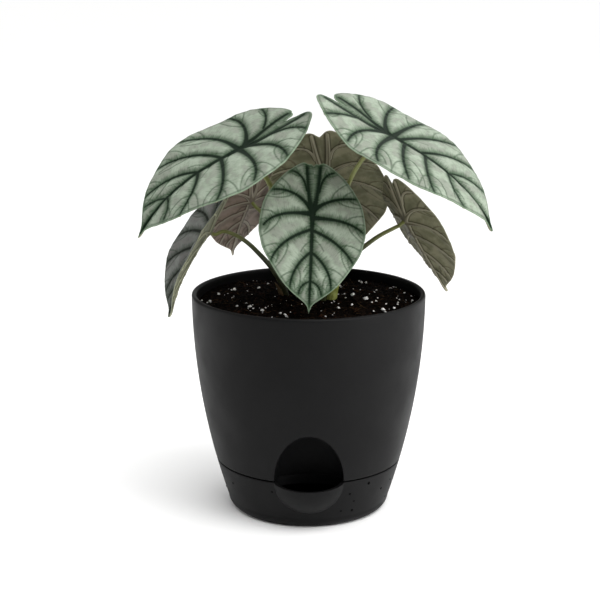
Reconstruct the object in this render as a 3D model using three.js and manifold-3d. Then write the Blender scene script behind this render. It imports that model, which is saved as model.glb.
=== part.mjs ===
// A silver dragon alocasia growing in a two-piece black plastic pot with a water tray.
// Millimetres, +Z up, the viewer at -Y. The origin is on the pot's axis, at the underside of the tray.

import * as THREE from 'three';
import { mergeVertices } from 'three/addons/utils/BufferGeometryUtils.js';
import Module from 'manifold-3d';

const wasm = await Module();
wasm.setup();

// Driving dimensions of the pot
const POT_HEIGHT = 203.2;
const RIM_RADIUS = 107.5;
const RIM_THICKNESS = 4.6;
const WALL = 3.5;
const SEAM_Z = 46.7;
const SEAM_GAP = 1.2;
const WALL_TAPER = 20.8; // radius lost from the rim down to the seam
const UNDERSIDE_CORNER = 9;
const POT_SEGMENTS = 42;

// Driving dimensions of the tray
const TRAY_FLOOR = 3.2;
const TRAY_WALL = 5.6;
const TRAY_LIP_WALL = 2.8;
const TRAY_LEDGE_Z = 38;

// Driving dimensions inside the planter
const PLANTER_FLOOR_Z = 38.3;
const FLOOR_THICKNESS = 3.2;
const SKIRT_CLEARANCE = 0.4;
const WELL_RADIUS = 26;
const WELL_BOTTOM_Z = 8;
const WELL_WALL = 3;
const DRAIN_RING_RADIUS = 48;
const DRAIN_RADIUS = 3;
const DRAIN_COUNT = 8;
const SLOT_COUNT = 6;

// The watering mouth: a hollow arch in the planter above a half-dome scoop on the tray
const MOUTH_CENTRE_Y = -81;
const MOUTH_HALF_WIDTH = 31;
const MOUTH_DEPTH = 19.5;
const ARCH_HEIGHT = 49.3;
const ARCH_LEAN = 16.7; // the arch leans out with the wall by this much at its top
const ARCH_SHELL = 3;
const SCOOP_DROP = 33;
const SCOOP_LEAN = 7; // the scoop leans in with the wall by this much at its foot
const SCOOP_WALL = 2.8;

// Soil
const SOIL_EDGE_Z = 192.5;
const SOIL_MOUND = 3.5;
const TOUCH_GAP = 0.3; // space kept between pieces that touch

// Crown: the short thick stem under the soil that all stalks grow from
const CROWN_CENTRE = [2, 8, 171];
const CROWN_RADII = [28, 22, 15];
const ROOTS = [
  { turn: 20, reach: 52, drop: 38 },
  { turn: 82, reach: 58, drop: 60 },
  { turn: 140, reach: 50, drop: 45 },
  { turn: 205, reach: 56, drop: 66 },
  { turn: 262, reach: 34, drop: 52 },
  { turn: 318, reach: 54, drop: 74 },
];
const ROOT_RADIUS = 2.4;

// Half outline of a blade, after the notch between the lobes, round a basal lobe to the drip tip.
// Across in half widths, along in blade lengths measured from the hub, where the stalk joins.
const HALF_OUTLINE = [
  [0.1, -0.465], [0.2, -0.475], [0.36, -0.43], [0.58, -0.335], [0.79, -0.2], [0.93, -0.06], [1, 0.18],
  [0.965, 0.31], [0.88, 0.44], [0.58, 0.675], [0.39, 0.78], [0.21, 0.865], [0.045, 0.955], [0, 1],
];
const LOBE_INNER_ALONG = -0.42;
const BLADE_THICKNESS = 1.1;
const BLADE_ROWS = 18;
const BLADE_COLUMNS = [0, 0.3, 0.6, 0.85, 1];
const DROOP_POWER = 1.7;
const LIFT_REACH = 0.12;

// Each leaf: hub in mm, angles in degrees, then the stalk's own points from the crown up to the hub.
// heading turns from +X towards +Y, pitch points the tip down, a positive roll raises the right half.
// droop bends the tip down, lift and lobe bend the basal lobes, fold and cup shape the cross-section.
// lobes makes the basal lobe of the right and of the left half longer and wider by these shares.
const LEAVES = [
  {
    name: 'upper_left',
    hub: [-56, -44, 342], heading: 201, pitch: 23, roll: 16, length: 125, halfWidth: 60.5,
    notch: -0.35, droop: 44, lobe: 11, lift: 10.5, fold: 5.5, cup: 10, twist: 1, sweep: 0,
    lobes: [[-0.04, 0], [0.04, 0.05]],
    stalk: [[-6, 2, 178], [-8, 0, 196], [-21, -12, 262], [-34, -25, 305], [-47, -36, 326]],
    footRadius: 4.2, neckRadius: 2.6,
  },
  {
    name: 'upper_right',
    hub: [66.5, -44.5, 354], heading: -18, pitch: 25.5, roll: -11.5, length: 129, halfWidth: 62,
    notch: -0.345, droop: 43, lobe: 12.5, lift: 9, fold: 5, cup: 12, twist: 2, sweep: -1,
    lobes: [[0.045, 0.08], [-0.025, 0]],
    stalk: [[11, 0, 178], [13, -2, 196], [24, -11, 252], [34, -24, 303], [47, -34, 330]],
    footRadius: 3.9, neckRadius: 2.1,
  },
  {
    name: 'front',
    hub: [3, -48, 286], heading: -92, pitch: 60, roll: 11, length: 92, halfWidth: 47.5,
    notch: -0.45, droop: 13, lobe: 10, lift: 9, fold: 7, cup: 10, twist: 0, sweep: 1,
    stalk: [[2, -7, 178], [2, -9, 196], [2, -14, 235], [3, -24, 262]],
    footRadius: 3.9, neckRadius: 2.3,
  },
  {
    name: 'back_centre',
    hub: [16, 54.5, 300], heading: 81, pitch: 49.5, roll: 10.5, length: 125, halfWidth: 59,
    notch: -0.415, droop: 13.5, lobe: 10.5, lift: 7.5, fold: -4, cup: 14, twist: 5, sweep: -2.5,
    stalk: [[5, 17, 178], [6, 19, 196], [10, 27, 240], [14, 39, 275]],
    footRadius: 4.2, neckRadius: 2.6,
  },
  {
    name: 'back_left',
    hub: [-53.5, 45.5, 280], heading: 113.5, pitch: 42, roll: 13, length: 87, halfWidth: 41,
    notch: -0.39, droop: 16.5, lobe: 1, lift: 18, fold: 12, cup: 15.5, twist: 0, sweep: 0,
    stalk: [[-8, 15, 178], [-11, 18, 196], [-23, 26, 236], [-37, 35, 262]],
    footRadius: 3.6, neckRadius: 2.1,
  },
  {
    name: 'left',
    hub: [-90.5, -4.5, 260], heading: 207, pitch: 53, roll: -12, length: 87, halfWidth: 42,
    notch: -0.39, droop: 21.5, lobe: 5, lift: 6, fold: 21, cup: 2.5, twist: 0, sweep: 0,
    stalk: [
      [-17, 8, 178], [-20.5, 8, 195.5], [-24.5, 7, 208], [-31, 6, 219.5], [-38.5, 5, 229.5], [-47, 4, 239],
      [-55.5, 3, 247.5], [-65.5, 2, 254.5], [-77, 0, 259],
    ],
    footRadius: 3.8, neckRadius: 2.0,
  },
  {
    name: 'right',
    hub: [90, 24.5, 265], heading: 40.5, pitch: 54.5, roll: -8, length: 98.5, halfWidth: 44,
    notch: -0.41, droop: -7, lobe: 6.5, lift: 10.5, fold: 14.5, cup: 3.5, twist: -2, sweep: -3,
    stalk: [
      [17.5, 9, 178], [20.5, 9, 194.5], [21.5, 9.5, 202], [25, 10.5, 212.5], [31.5, 12, 223],
      [40.5, 14, 233], [54, 16.5, 243.5], [66, 19, 251.5], [79.5, 22, 258],
    ],
    footRadius: 3.9, neckRadius: 2.1,
  },
];

// Old sheaths that wrap the foot of two stalks
const SHEATHS = [
  { name: 'sheath_right', around: 'right', footZ: 190, height: 24, facing: -50, span: 170, radius: 5.2 },
  { name: 'sheath_left', around: 'left', footZ: 190, height: 20, facing: 200, span: 130, radius: 5.4 },
];

// Materials
const blackPlastic = new THREE.MeshStandardMaterial({ color: 0x232323, roughness: 0.62, metalness: 0 });
const trayPlastic = new THREE.MeshStandardMaterial({ color: 0x202020, roughness: 0.62, metalness: 0 });
const soilBrown = new THREE.MeshStandardMaterial({ color: 0x17110d, roughness: 0.95, metalness: 0 });
const crownBrown = new THREE.MeshStandardMaterial({ color: 0x7d6a4c, roughness: 0.8, metalness: 0 });
const silverGreen = new THREE.MeshStandardMaterial({ color: 0xa5b8a4, roughness: 0.5, metalness: 0 });
const stalkGreen = new THREE.MeshStandardMaterial({ color: 0x5e6b33, roughness: 0.5, metalness: 0 });
const sheathGreen = new THREE.MeshStandardMaterial({ color: 0x8a8f45, roughness: 0.6, metalness: 0 });

// Outer radius of the whole pot at a height: one curve runs through planter and tray
function wallRadius(z) {
  const down = (POT_HEIGHT - z) / (POT_HEIGHT - SEAM_Z);
  return RIM_RADIUS - WALL_TAPER * down * down;
}

// A geometry with shared corners and no collapsed triangles
function welded(geometry) {
  const bare = geometry.clone();
  bare.deleteAttribute('normal');
  bare.deleteAttribute('uv');
  const merged = mergeVertices(bare, 1e-4);
  const kept = [];
  const corners = merged.index.array;
  for (let i = 0; i < corners.length; i += 3) {
    const [a, b, c] = [corners[i], corners[i + 1], corners[i + 2]];
    if (a !== b && b !== c && c !== a) kept.push(a, b, c);
  }
  merged.setIndex(kept);
  return merged;
}

function toSolid(geometry) {
  const merged = welded(geometry);
  const vertProperties = new Float32Array(merged.attributes.position.array);
  const triVerts = new Uint32Array(merged.index.array);
  return new wasm.Manifold(new wasm.Mesh({ numProp: 3, vertProperties, triVerts }));
}

function toGeometry(solid) {
  const mesh = solid.getMesh();
  const geometry = new THREE.BufferGeometry();
  geometry.setAttribute('position', new THREE.BufferAttribute(new Float32Array(mesh.vertProperties), 3));
  geometry.setIndex(new THREE.BufferAttribute(new Uint32Array(mesh.triVerts), 1));
  geometry.computeVertexNormals();
  return geometry;
}

// A solid of revolution about Z from [radius, height] points that start and end on the axis
function turned(profile, segments = POT_SEGMENTS) {
  const points = profile.map(([radius, z]) => new THREE.Vector2(radius, z));
  return new THREE.LatheGeometry(points, segments).rotateX(Math.PI / 2);
}

// Points of a wall offset inwards from the pot's outer curve
function wallPoints(fromZ, toZ, inset, steps) {
  const points = [];
  for (let i = 0; i <= steps; i += 1) {
    const z = fromZ + ((toZ - fromZ) * i) / steps;
    points.push([wallRadius(z) - inset, z]);
  }
  return points;
}

// An ellipsoid whose level sections slide along Y with height, so that it follows the leaning wall
function leaningEllipsoid(radii, centre, leanPerHeight) {
  const ball = new THREE.SphereGeometry(1, 20, 12).rotateX(Math.PI / 2).scale(radii[0], radii[1], radii[2]);
  const position = ball.attributes.position;
  for (let i = 0; i < position.count; i += 1) {
    position.setY(i, position.getY(i) + leanPerHeight * position.getZ(i));
  }
  return ball.translate(centre[0], centre[1], centre[2]);
}

function archEllipsoid(grow) {
  const radii = [MOUTH_HALF_WIDTH + grow, MOUTH_DEPTH + grow, ARCH_HEIGHT + grow];
  return leaningEllipsoid(radii, [0, MOUTH_CENTRE_Y, SEAM_Z], -ARCH_LEAN / ARCH_HEIGHT);
}

function scoopEllipsoid(shrink) {
  const radii = [MOUTH_HALF_WIDTH + 0.4 - shrink, MOUTH_DEPTH - 1 - shrink, SCOOP_DROP - shrink];
  return leaningEllipsoid(radii, [0, MOUTH_CENTRE_Y, SEAM_Z], -SCOOP_LEAN / SCOOP_DROP);
}

function roundedCorner(centreRadius, centreZ, radius, fromDegrees, toDegrees, steps) {
  const points = [];
  for (let i = 0; i <= steps; i += 1) {
    const angle = THREE.MathUtils.degToRad(fromDegrees + ((toDegrees - fromDegrees) * i) / steps);
    points.push([centreRadius + radius * Math.cos(angle), centreZ + radius * Math.sin(angle)]);
  }
  return points;
}

function makeReservoirTray() {
  const topZ = SEAM_Z - SEAM_GAP / 2;
  const outerFoot = wallRadius(UNDERSIDE_CORNER) - UNDERSIDE_CORNER;
  const innerCorner = UNDERSIDE_CORNER - 3;
  const innerFoot = wallRadius(UNDERSIDE_CORNER) - TRAY_WALL - innerCorner;
  const outside = [
    [0, 0],
    ...roundedCorner(outerFoot, UNDERSIDE_CORNER, UNDERSIDE_CORNER, -90, 0, 6),
    ...wallPoints(15, topZ, 0, 4),
    [0, topZ],
  ];
  const inside = [
    [0, TRAY_FLOOR],
    ...roundedCorner(innerFoot, TRAY_FLOOR + innerCorner, innerCorner, -90, 0, 4),
    ...wallPoints(15, TRAY_LEDGE_Z, TRAY_WALL, 3),
    ...wallPoints(TRAY_LEDGE_Z, topZ + 4, TRAY_LIP_WALL, 1),
    [0, topZ + 4],
  ];
  const ceiling = new THREE.BoxGeometry(300, 300, 100).translate(0, 0, topZ + 50);
  const outer = toSolid(turned(outside)).add(toSolid(scoopEllipsoid(0)));
  const inner = toSolid(turned(inside)).add(toSolid(scoopEllipsoid(SCOOP_WALL)));
  return toGeometry(outer.subtract(inner).subtract(toSolid(ceiling)));
}

// The space inside the planter: its wall, floor and well, drawn in by an extra gap for the soil
function planterCavity(gap, topZ) {
  const floorTop = PLANTER_FLOOR_Z + FLOOR_THICKNESS + gap;
  const skirtInset = TRAY_LIP_WALL + SKIRT_CLEARANCE + WALL + gap;
  return [
    [0, WELL_BOTTOM_Z + WELL_WALL + gap],
    [WELL_RADIUS - WELL_WALL - gap - 1, WELL_BOTTOM_Z + WELL_WALL + gap],
    [WELL_RADIUS - WELL_WALL - gap, floorTop],
    [wallRadius(floorTop) - skirtInset - 2, floorTop],
    [wallRadius(floorTop + 2) - skirtInset, floorTop + 2],
    [wallRadius(SEAM_Z + 4) - skirtInset, SEAM_Z + 4],
    ...wallPoints(SEAM_Z + 14, topZ, WALL + gap, 5),
  ];
}

function makePlanterBody() {
  const bottomZ = SEAM_Z + SEAM_GAP / 2;
  const lipRadius = RIM_THICKNESS / 2;
  const skirtInset = TRAY_LIP_WALL + SKIRT_CLEARANCE;
  const outside = [
    [0, WELL_BOTTOM_Z],
    [WELL_RADIUS - 1, WELL_BOTTOM_Z],
    [WELL_RADIUS, PLANTER_FLOOR_Z],
    ...wallPoints(PLANTER_FLOOR_Z, bottomZ, skirtInset, 1),
    ...wallPoints(bottomZ, POT_HEIGHT - lipRadius, 0, 7),
  ];
  const rim = roundedCorner(RIM_RADIUS - lipRadius, POT_HEIGHT - lipRadius, lipRadius, 30, 180, 5);
  const cavity = planterCavity(0, POT_HEIGHT - 8);
  const shell = toSolid(turned([...outside, ...rim, ...cavity.reverse()]));
  const filled = toSolid(turned([...outside, [0, POT_HEIGHT - lipRadius]]));
  const archShell = toSolid(archEllipsoid(ARCH_SHELL)).intersect(filled);
  const holes = [];
  for (let i = 0; i < DRAIN_COUNT; i += 1) {
    const angle = ((i + 0.5) * 2 * Math.PI) / DRAIN_COUNT;
    const drill = new THREE.CylinderGeometry(DRAIN_RADIUS, DRAIN_RADIUS, 12, 10).rotateX(Math.PI / 2);
    const [x, y] = [DRAIN_RING_RADIUS * Math.cos(angle), DRAIN_RING_RADIUS * Math.sin(angle)];
    drill.translate(x, y, PLANTER_FLOOR_Z);
    holes.push(drill);
  }
  for (let i = 0; i < SLOT_COUNT; i += 1) {
    const slot = new THREE.BoxGeometry(12, 4, 18).translate(WELL_RADIUS - 1, 0, 21);
    holes.push(slot.rotateZ((i * 2 * Math.PI) / SLOT_COUNT));
  }
  let body = shell.add(archShell).subtract(toSolid(archEllipsoid(0)));
  for (const hole of holes) body = body.subtract(toSolid(hole));
  return toGeometry(body);
}

// Directions at a leaf's hub: along the blade, to its right, and up out of its upper side
function leafFrame(leaf) {
  const heading = THREE.MathUtils.degToRad(leaf.heading);
  const pitch = THREE.MathUtils.degToRad(leaf.pitch);
  const along = new THREE.Vector3(
    Math.cos(heading) * Math.cos(pitch),
    Math.sin(heading) * Math.cos(pitch),
    -Math.sin(pitch),
  );
  const right = new THREE.Vector3(Math.sin(heading), -Math.cos(heading), 0);
  const up = new THREE.Vector3().crossVectors(right, along);
  const roll = THREE.MathUtils.degToRad(leaf.roll);
  right.applyAxisAngle(along, -roll);
  up.applyAxisAngle(along, -roll);
  return { along, right, up };
}

// How far the midrib has bent down from its direction at the hub
function ribBend(leaf, u) {
  if (u >= 0) return THREE.MathUtils.degToRad(leaf.droop) * u ** DROOP_POWER;
  const lift = THREE.MathUtils.degToRad(leaf.lift) * Math.min(1, -u / LIFT_REACH);
  return lift + THREE.MathUtils.degToRad(leaf.lobe) * u;
}

// A point of the blade's middle surface, across and along in mm from the hub
function bladePoint(leaf, across, along) {
  const frame = leafFrame(leaf);
  const u = along / leaf.length;
  const steps = 24;
  let forward = 0;
  let drop = 0;
  for (let i = 0; i < steps; i += 1) {
    const bend = ribBend(leaf, (u * (i + 0.5)) / steps);
    forward += (Math.cos(bend) * along) / steps;
    drop += (Math.sin(bend) * along) / steps;
  }
  const bend = ribBend(leaf, u);
  const fold = THREE.MathUtils.degToRad(leaf.fold);
  const cup = THREE.MathUtils.degToRad(leaf.cup) / leaf.halfWidth;
  const edge = fold - cup * Math.abs(across);
  const sideways = (Math.sin(fold) - Math.sin(edge)) / cup;
  const height = (Math.cos(edge) - Math.cos(fold)) / cup;
  const swept = THREE.MathUtils.degToRad(leaf.sweep) * along * u * 0.5;
  const twist = THREE.MathUtils.degToRad(leaf.twist) * u;
  const y = Math.sign(across) * sideways + swept;
  const rightward = y * Math.cos(twist) - height * Math.sin(twist);
  const upward = y * Math.sin(twist) + height * Math.cos(twist);
  return new THREE.Vector3(...leaf.hub)
    .addScaledVector(frame.along, forward + upward * Math.sin(bend))
    .addScaledVector(frame.up, upward * Math.cos(bend) - drop)
    .addScaledVector(frame.right, rightward);
}

function bladeNormal(leaf, across, along) {
  const step = 0.5;
  const centre = bladePoint(leaf, across, along);
  const ahead = bladePoint(leaf, across, along + step).sub(centre);
  const outward = across < 0 ? -step : step;
  const beside = bladePoint(leaf, across + outward, along).sub(centre).multiplyScalar(Math.sign(outward));
  return new THREE.Vector3().crossVectors(beside, ahead).normalize();
}

// Where a point of the even outline lies once the basal lobes have their own length and width
function shapeLobe(leaf, across, along) {
  const [longer, wider] = (leaf.lobes ?? [[0, 0], [0, 0]])[across > 0 ? 0 : 1];
  const behind = THREE.MathUtils.clamp(-along / (0.35 * leaf.length), 0, 1);
  const far = THREE.MathUtils.clamp((-along / leaf.length - 0.12) / 0.35, 0, 1) ** 1.5;
  const beside = THREE.MathUtils.clamp(Math.abs(across) / (0.1 * leaf.halfWidth), 0, 1);
  return [across * (1 + wider * behind), along - longer * leaf.length * far * beside];
}

// A thin closed solid: both skins share the corners of the margin
function makeBlade(leaf) {
  const lobeInner = Math.min(LOBE_INNER_ALONG, leaf.notch - 0.015);
  const outline = new THREE.CatmullRomCurve3(
    [[0, leaf.notch], [0.035, lobeInner], ...HALF_OUTLINE].map(
      ([a, t]) => new THREE.Vector3(a * leaf.halfWidth, t * leaf.length, 0),
    ),
  );
  const corners = [];
  const addCorner = (point) => corners.push(point.x, point.y, point.z) / 3 - 1;
  const columns = [...BLADE_COLUMNS.slice(1).map((c) => -c).reverse(), ...BLADE_COLUMNS];
  const last = columns.length - 1;
  const rows = [];
  for (let i = 0; i <= BLADE_ROWS; i += 1) {
    const share = i / BLADE_ROWS;
    const rim = outline.getPointAt(share);
    const rib = leaf.length * (leaf.notch + (1 - leaf.notch) * share);
    if (i === 0 || i === BLADE_ROWS) {
      const end = addCorner(bladePoint(leaf, 0, rib));
      rows.push({ top: columns.map(() => end), under: columns.map(() => end) });
      continue;
    }
    const row = { top: [], under: [] };
    columns.forEach((column, j) => {
      const reach = Math.abs(column);
      const [across, along] = shapeLobe(leaf, rim.x * column, rib + (rim.y - rib) * reach);
      const centre = bladePoint(leaf, across, along);
      const half = bladeNormal(leaf, across, along).multiplyScalar(BLADE_THICKNESS / 2);
      if (j === 0 || j === last) {
        const edge = addCorner(centre);
        row.top.push(edge);
        row.under.push(edge);
      } else {
        half.multiplyScalar(Math.sqrt(1 - reach ** 3));
        row.top.push(addCorner(centre.clone().add(half)));
        row.under.push(addCorner(centre.clone().sub(half)));
      }
    });
    rows.push(row);
  }
  const faces = [];
  for (let i = 0; i < BLADE_ROWS; i += 1) {
    for (let j = 0; j < last; j += 1) {
      const [a, b, c, d] = [rows[i].top[j], rows[i].top[j + 1], rows[i + 1].top[j + 1], rows[i + 1].top[j]];
      faces.push(a, b, c, a, c, d);
      const [e, f] = [rows[i].under[j], rows[i].under[j + 1]];
      const [g, h] = [rows[i + 1].under[j + 1], rows[i + 1].under[j]];
      faces.push(e, g, f, e, h, g);
    }
  }
  const geometry = new THREE.BufferGeometry();
  geometry.setAttribute('position', new THREE.Float32BufferAttribute(corners, 3));
  geometry.setIndex(faces);
  return toGeometry(toSolid(geometry));
}

// A closed tube along a curve whose radius runs from foot to tip
function taperedTube(points, footRadius, tipRadius, rings, sides, grow = 0) {
  const curve = new THREE.CatmullRomCurve3(points.map((p) => new THREE.Vector3(...p)), false, 'centripetal');
  const frames = curve.computeFrenetFrames(rings, false);
  const corners = [];
  for (let i = 0; i <= rings; i += 1) {
    const centre = curve.getPointAt(i / rings);
    const radius = footRadius + (tipRadius - footRadius) * (i / rings) ** 0.7 + grow;
    for (let j = 0; j < sides; j += 1) {
      const angle = (j * 2 * Math.PI) / sides;
      const point = centre.clone();
      point.addScaledVector(frames.normals[i], radius * Math.cos(angle));
      point.addScaledVector(frames.binormals[i], radius * Math.sin(angle));
      corners.push(point.x, point.y, point.z);
    }
  }
  const foot = corners.length / 3;
  corners.push(...curve.getPointAt(0).toArray(), ...curve.getPointAt(1).toArray());
  const faces = [];
  for (let j = 0; j < sides; j += 1) {
    const k = (j + 1) % sides;
    for (let i = 0; i < rings; i += 1) {
      const [a, b] = [i * sides + j, i * sides + k];
      faces.push(a, b, b + sides, a, b + sides, a + sides);
    }
    faces.push(foot, k, j);
    faces.push(foot + 1, rings * sides + j, rings * sides + k);
  }
  const geometry = new THREE.BufferGeometry();
  geometry.setAttribute('position', new THREE.Float32BufferAttribute(corners, 3));
  geometry.setIndex(faces);
  return geometry;
}

// The stalk comes square to the blade's underside and stops just short of it
function stalkPoints(leaf) {
  const hub = bladePoint(leaf, 0, 0);
  const under = bladeNormal(leaf, 0, 0).multiplyScalar(-1);
  const end = hub.clone().addScaledVector(under, BLADE_THICKNESS / 2 + 2 * TOUCH_GAP);
  const neck = hub.clone().addScaledVector(under, 7);
  return [...leaf.stalk, neck.toArray(), end.toArray()];
}

function stalkSolid(leaf, grow) {
  return toSolid(taperedTube(stalkPoints(leaf), leaf.footRadius, leaf.neckRadius, 18, 8, grow));
}

function crownSolid(grow) {
  const [rx, ry, rz] = CROWN_RADII;
  const ball = new THREE.SphereGeometry(1, 16, 10).rotateX(Math.PI / 2);
  let crown = toSolid(ball.scale(rx + grow, ry + grow, rz + grow).translate(...CROWN_CENTRE));
  const [cx, cy, cz] = CROWN_CENTRE;
  for (const root of ROOTS) {
    const turn = THREE.MathUtils.degToRad(root.turn);
    const at = (reach, drop) => [cx + reach * Math.cos(turn), cy + reach * Math.sin(turn), cz - drop];
    const points = [at(12, 2), at(root.reach * 0.6, root.drop * 0.25), at(root.reach, root.drop)];
    crown = crown.add(toSolid(taperedTube(points, ROOT_RADIUS * 1.4, ROOT_RADIUS * 0.5, 6, 6, grow)));
  }
  return crown;
}

function makePottingMix(stalks, sheaths) {
  const gap = TOUCH_GAP;
  const profile = planterCavity(gap, SOIL_EDGE_Z);
  for (const share of [0.8, 0.55, 0.3]) {
    profile.push([wallRadius(SOIL_EDGE_Z) * share, SOIL_EDGE_Z + SOIL_MOUND * (1 - share * share)]);
  }
  profile.push([0, SOIL_EDGE_Z + SOIL_MOUND]);
  const turnedMix = turned(profile);
  const position = turnedMix.attributes.position;
  for (let i = 0; i < position.count; i += 1) {
    if (position.getZ(i) < SOIL_EDGE_Z - 1) continue;
    const [x, y] = [position.getX(i), position.getY(i)];
    const lumps = Math.sin(x / 9) * Math.cos(y / 11) + 0.6 * Math.sin((x + 2 * y) / 17);
    position.setZ(i, position.getZ(i) + 0.7 * lumps);
  }
  let mix = toSolid(turnedMix).subtract(toSolid(archEllipsoid(ARCH_SHELL + gap)));
  mix = mix.subtract(crownSolid(gap));
  for (const stalk of stalks) mix = mix.subtract(stalk);
  for (const sheath of sheaths) mix = mix.subtract(sheath);
  return toGeometry(mix);
}

// A sheath: a leaf-shaped piece of thin shell curved round the foot of a stalk
function sheathSolid(sheath, grow) {
  const leaf = LEAVES.find((one) => one.name === sheath.around);
  const points = stalkPoints(leaf).map((p) => new THREE.Vector3(...p));
  const line = new THREE.CatmullRomCurve3(points, false, 'centripetal');
  const rows = 8;
  const columns = 6;
  const corners = [];
  const centreAt = (z) => {
    let low = 0;
    let high = 1;
    for (let i = 0; i < 30; i += 1) {
      const middle = (low + high) / 2;
      if (line.getPoint(middle).z < z) low = middle;
      else high = middle;
    }
    return line.getPoint(low);
  };
  for (const side of [sheath.radius + 0.9 + grow, sheath.radius - grow]) {
    for (let i = 0; i <= rows; i += 1) {
      const share = i / rows;
      const z = sheath.footZ - 6 - grow + (sheath.height + 6 + 2 * grow) * share;
      const centre = centreAt(z);
      const bare = THREE.MathUtils.degToRad(sheath.span) * Math.sqrt(Math.max(1 - share ** 2, 0.01));
      const span = bare + (3 * grow) / sheath.radius;
      for (let j = 0; j <= columns; j += 1) {
        const angle = THREE.MathUtils.degToRad(sheath.facing) + span * (j / columns - 0.5);
        corners.push(centre.x + side * Math.cos(angle), centre.y + side * Math.sin(angle), z);
      }
    }
  }
  const width = columns + 1;
  const skin = width * (rows + 1);
  const faces = [];
  const quad = (a, b, c, d) => faces.push(a, b, c, a, c, d);
  for (let i = 0; i < rows; i += 1) {
    for (let j = 0; j < columns; j += 1) {
      const a = i * width + j;
      quad(a, a + 1, a + 1 + width, a + width);
      quad(skin + a, skin + a + width, skin + a + 1 + width, skin + a + 1);
    }
    const left = i * width;
    const right = left + columns;
    quad(left, left + width, skin + left + width, skin + left);
    quad(right, skin + right, skin + right + width, right + width);
  }
  for (let j = 0; j < columns; j += 1) {
    const top = rows * width + j;
    quad(j, skin + j, skin + j + 1, j + 1);
    quad(top, top + 1, skin + top + 1, skin + top);
  }
  const geometry = new THREE.BufferGeometry();
  geometry.setAttribute('position', new THREE.Float32BufferAttribute(corners, 3));
  geometry.setIndex(faces);
  return toSolid(geometry);
}

const plant = new THREE.Group();
plant.name = 'potted_silver_dragon_alocasia';

function addPiece(name, geometry, material) {
  const mesh = new THREE.Mesh(geometry, material);
  mesh.name = name;
  plant.add(mesh);
}

addPiece('reservoir_tray', makeReservoirTray(), trayPlastic);
addPiece('planter_body', makePlanterBody(), blackPlastic);
const widenedStalks = LEAVES.map((leaf) => stalkSolid(leaf, TOUCH_GAP));
const widenedSheaths = SHEATHS.map((sheath) => sheathSolid(sheath, 2 * TOUCH_GAP));
addPiece('potting_mix', makePottingMix(widenedStalks, widenedSheaths), soilBrown);
addPiece('crown_and_roots', toGeometry(crownSolid(0)), crownBrown);
const widenedCrown = crownSolid(TOUCH_GAP);
for (const leaf of LEAVES) {
  addPiece(`petiole_${leaf.name}`, toGeometry(stalkSolid(leaf, 0).subtract(widenedCrown)), stalkGreen);
  addPiece(`blade_${leaf.name}`, makeBlade(leaf), silverGreen);
}
for (const sheath of SHEATHS) addPiece(sheath.name, toGeometry(sheathSolid(sheath, 0)), sheathGreen);

export default plant;
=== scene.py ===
"""A silver dragon alocasia in a two-piece black pot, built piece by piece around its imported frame."""

import math

import bmesh
import bpy
import numpy as np
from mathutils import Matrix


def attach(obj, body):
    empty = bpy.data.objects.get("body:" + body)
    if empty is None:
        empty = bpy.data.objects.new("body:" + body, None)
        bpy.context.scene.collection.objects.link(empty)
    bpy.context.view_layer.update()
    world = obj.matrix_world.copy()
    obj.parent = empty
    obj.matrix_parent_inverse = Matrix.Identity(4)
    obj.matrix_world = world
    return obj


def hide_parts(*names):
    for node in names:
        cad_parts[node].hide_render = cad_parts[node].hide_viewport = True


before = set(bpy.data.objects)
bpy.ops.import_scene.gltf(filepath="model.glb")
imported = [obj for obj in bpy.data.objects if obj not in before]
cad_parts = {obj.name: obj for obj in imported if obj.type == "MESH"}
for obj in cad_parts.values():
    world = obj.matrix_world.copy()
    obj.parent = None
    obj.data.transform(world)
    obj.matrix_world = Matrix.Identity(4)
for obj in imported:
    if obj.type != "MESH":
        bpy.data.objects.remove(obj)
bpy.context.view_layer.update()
MM = 0.001

# Camera
# The photo looks along +Y through a long lens, from a little above the rim and 1.35 m away.
CAMERA_PLACE = (-7.9 * MM, -1345 * MM, 520 * MM)
CAMERA_DOWN_DEGREES = 13.6
CAMERA_SENSOR = 36
CAMERA_LENS = 90
camera_data = bpy.data.cameras.new("camera")
camera_data.sensor_width = CAMERA_SENSOR
camera_data.lens = CAMERA_LENS
camera = bpy.data.objects.new("camera", camera_data)
camera.location = CAMERA_PLACE
camera.rotation_euler = (math.radians(90 - CAMERA_DOWN_DEGREES), 0, 0)
bpy.context.scene.collection.objects.link(camera)
bpy.context.scene.camera = camera
bpy.context.scene.view_settings.view_transform = "Standard"

# Water tray
# The lower part of the pot is one injection-moulded cup of matt black plastic that stores water.
# Its wall carries on the planter's curve, and a half-dome scoop at the front takes the spout of a can.
POT_HEIGHT = 203.2
RIM_RADIUS = 107.5
SEAM_Z = 46.7
SEAM_GAP = 1.2
WALL_TAPER = 20.8
MOUTH_HALF_WIDTH = 31.0
SCOOP_DROP = 30.5
SCOOP_LIP_DIP = 3.0
SCOOP_REACH = 12.8
SCOOP_FULLNESS = 0.62
SCOOP_FOOT_Z = 11
SCOOP_INNER_FOOT_Z = 14
TRAY_WALL = 2.8
TRAY_FLOOR = 3.2
TRAY_INNER_FOOT_Z = 12
UNDERSIDE_CORNER = 9.0
UNDERSIDE_CORNER_STEPS = 8
FOOT_RING_RADIUS = 58
FOOT_RECESS_RADIUS = 56.5
FOOT_RECESS = 0.8
# Radius and height of the rings by which the tray's inside rounds into its floor
TRAY_BOWL = ((71, 6.5), (68, 4), (64, TRAY_FLOOR), (30, TRAY_FLOOR))


def wall_radius(z):
    """Outer radius of the whole pot at a height: one curve through tray and planter."""
    down = (POT_HEIGHT - z) / (POT_HEIGHT - SEAM_Z)
    return RIM_RADIUS - WALL_TAPER * down * down


def rounded_edge(gap, radius=0.9):
    """How far a wall draws in within a small distance of its edge, so that the edge is rounded."""
    inside = max(0.0, radius - gap)
    return radius - math.sqrt(max(0.0, radius * radius - inside * inside))


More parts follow.
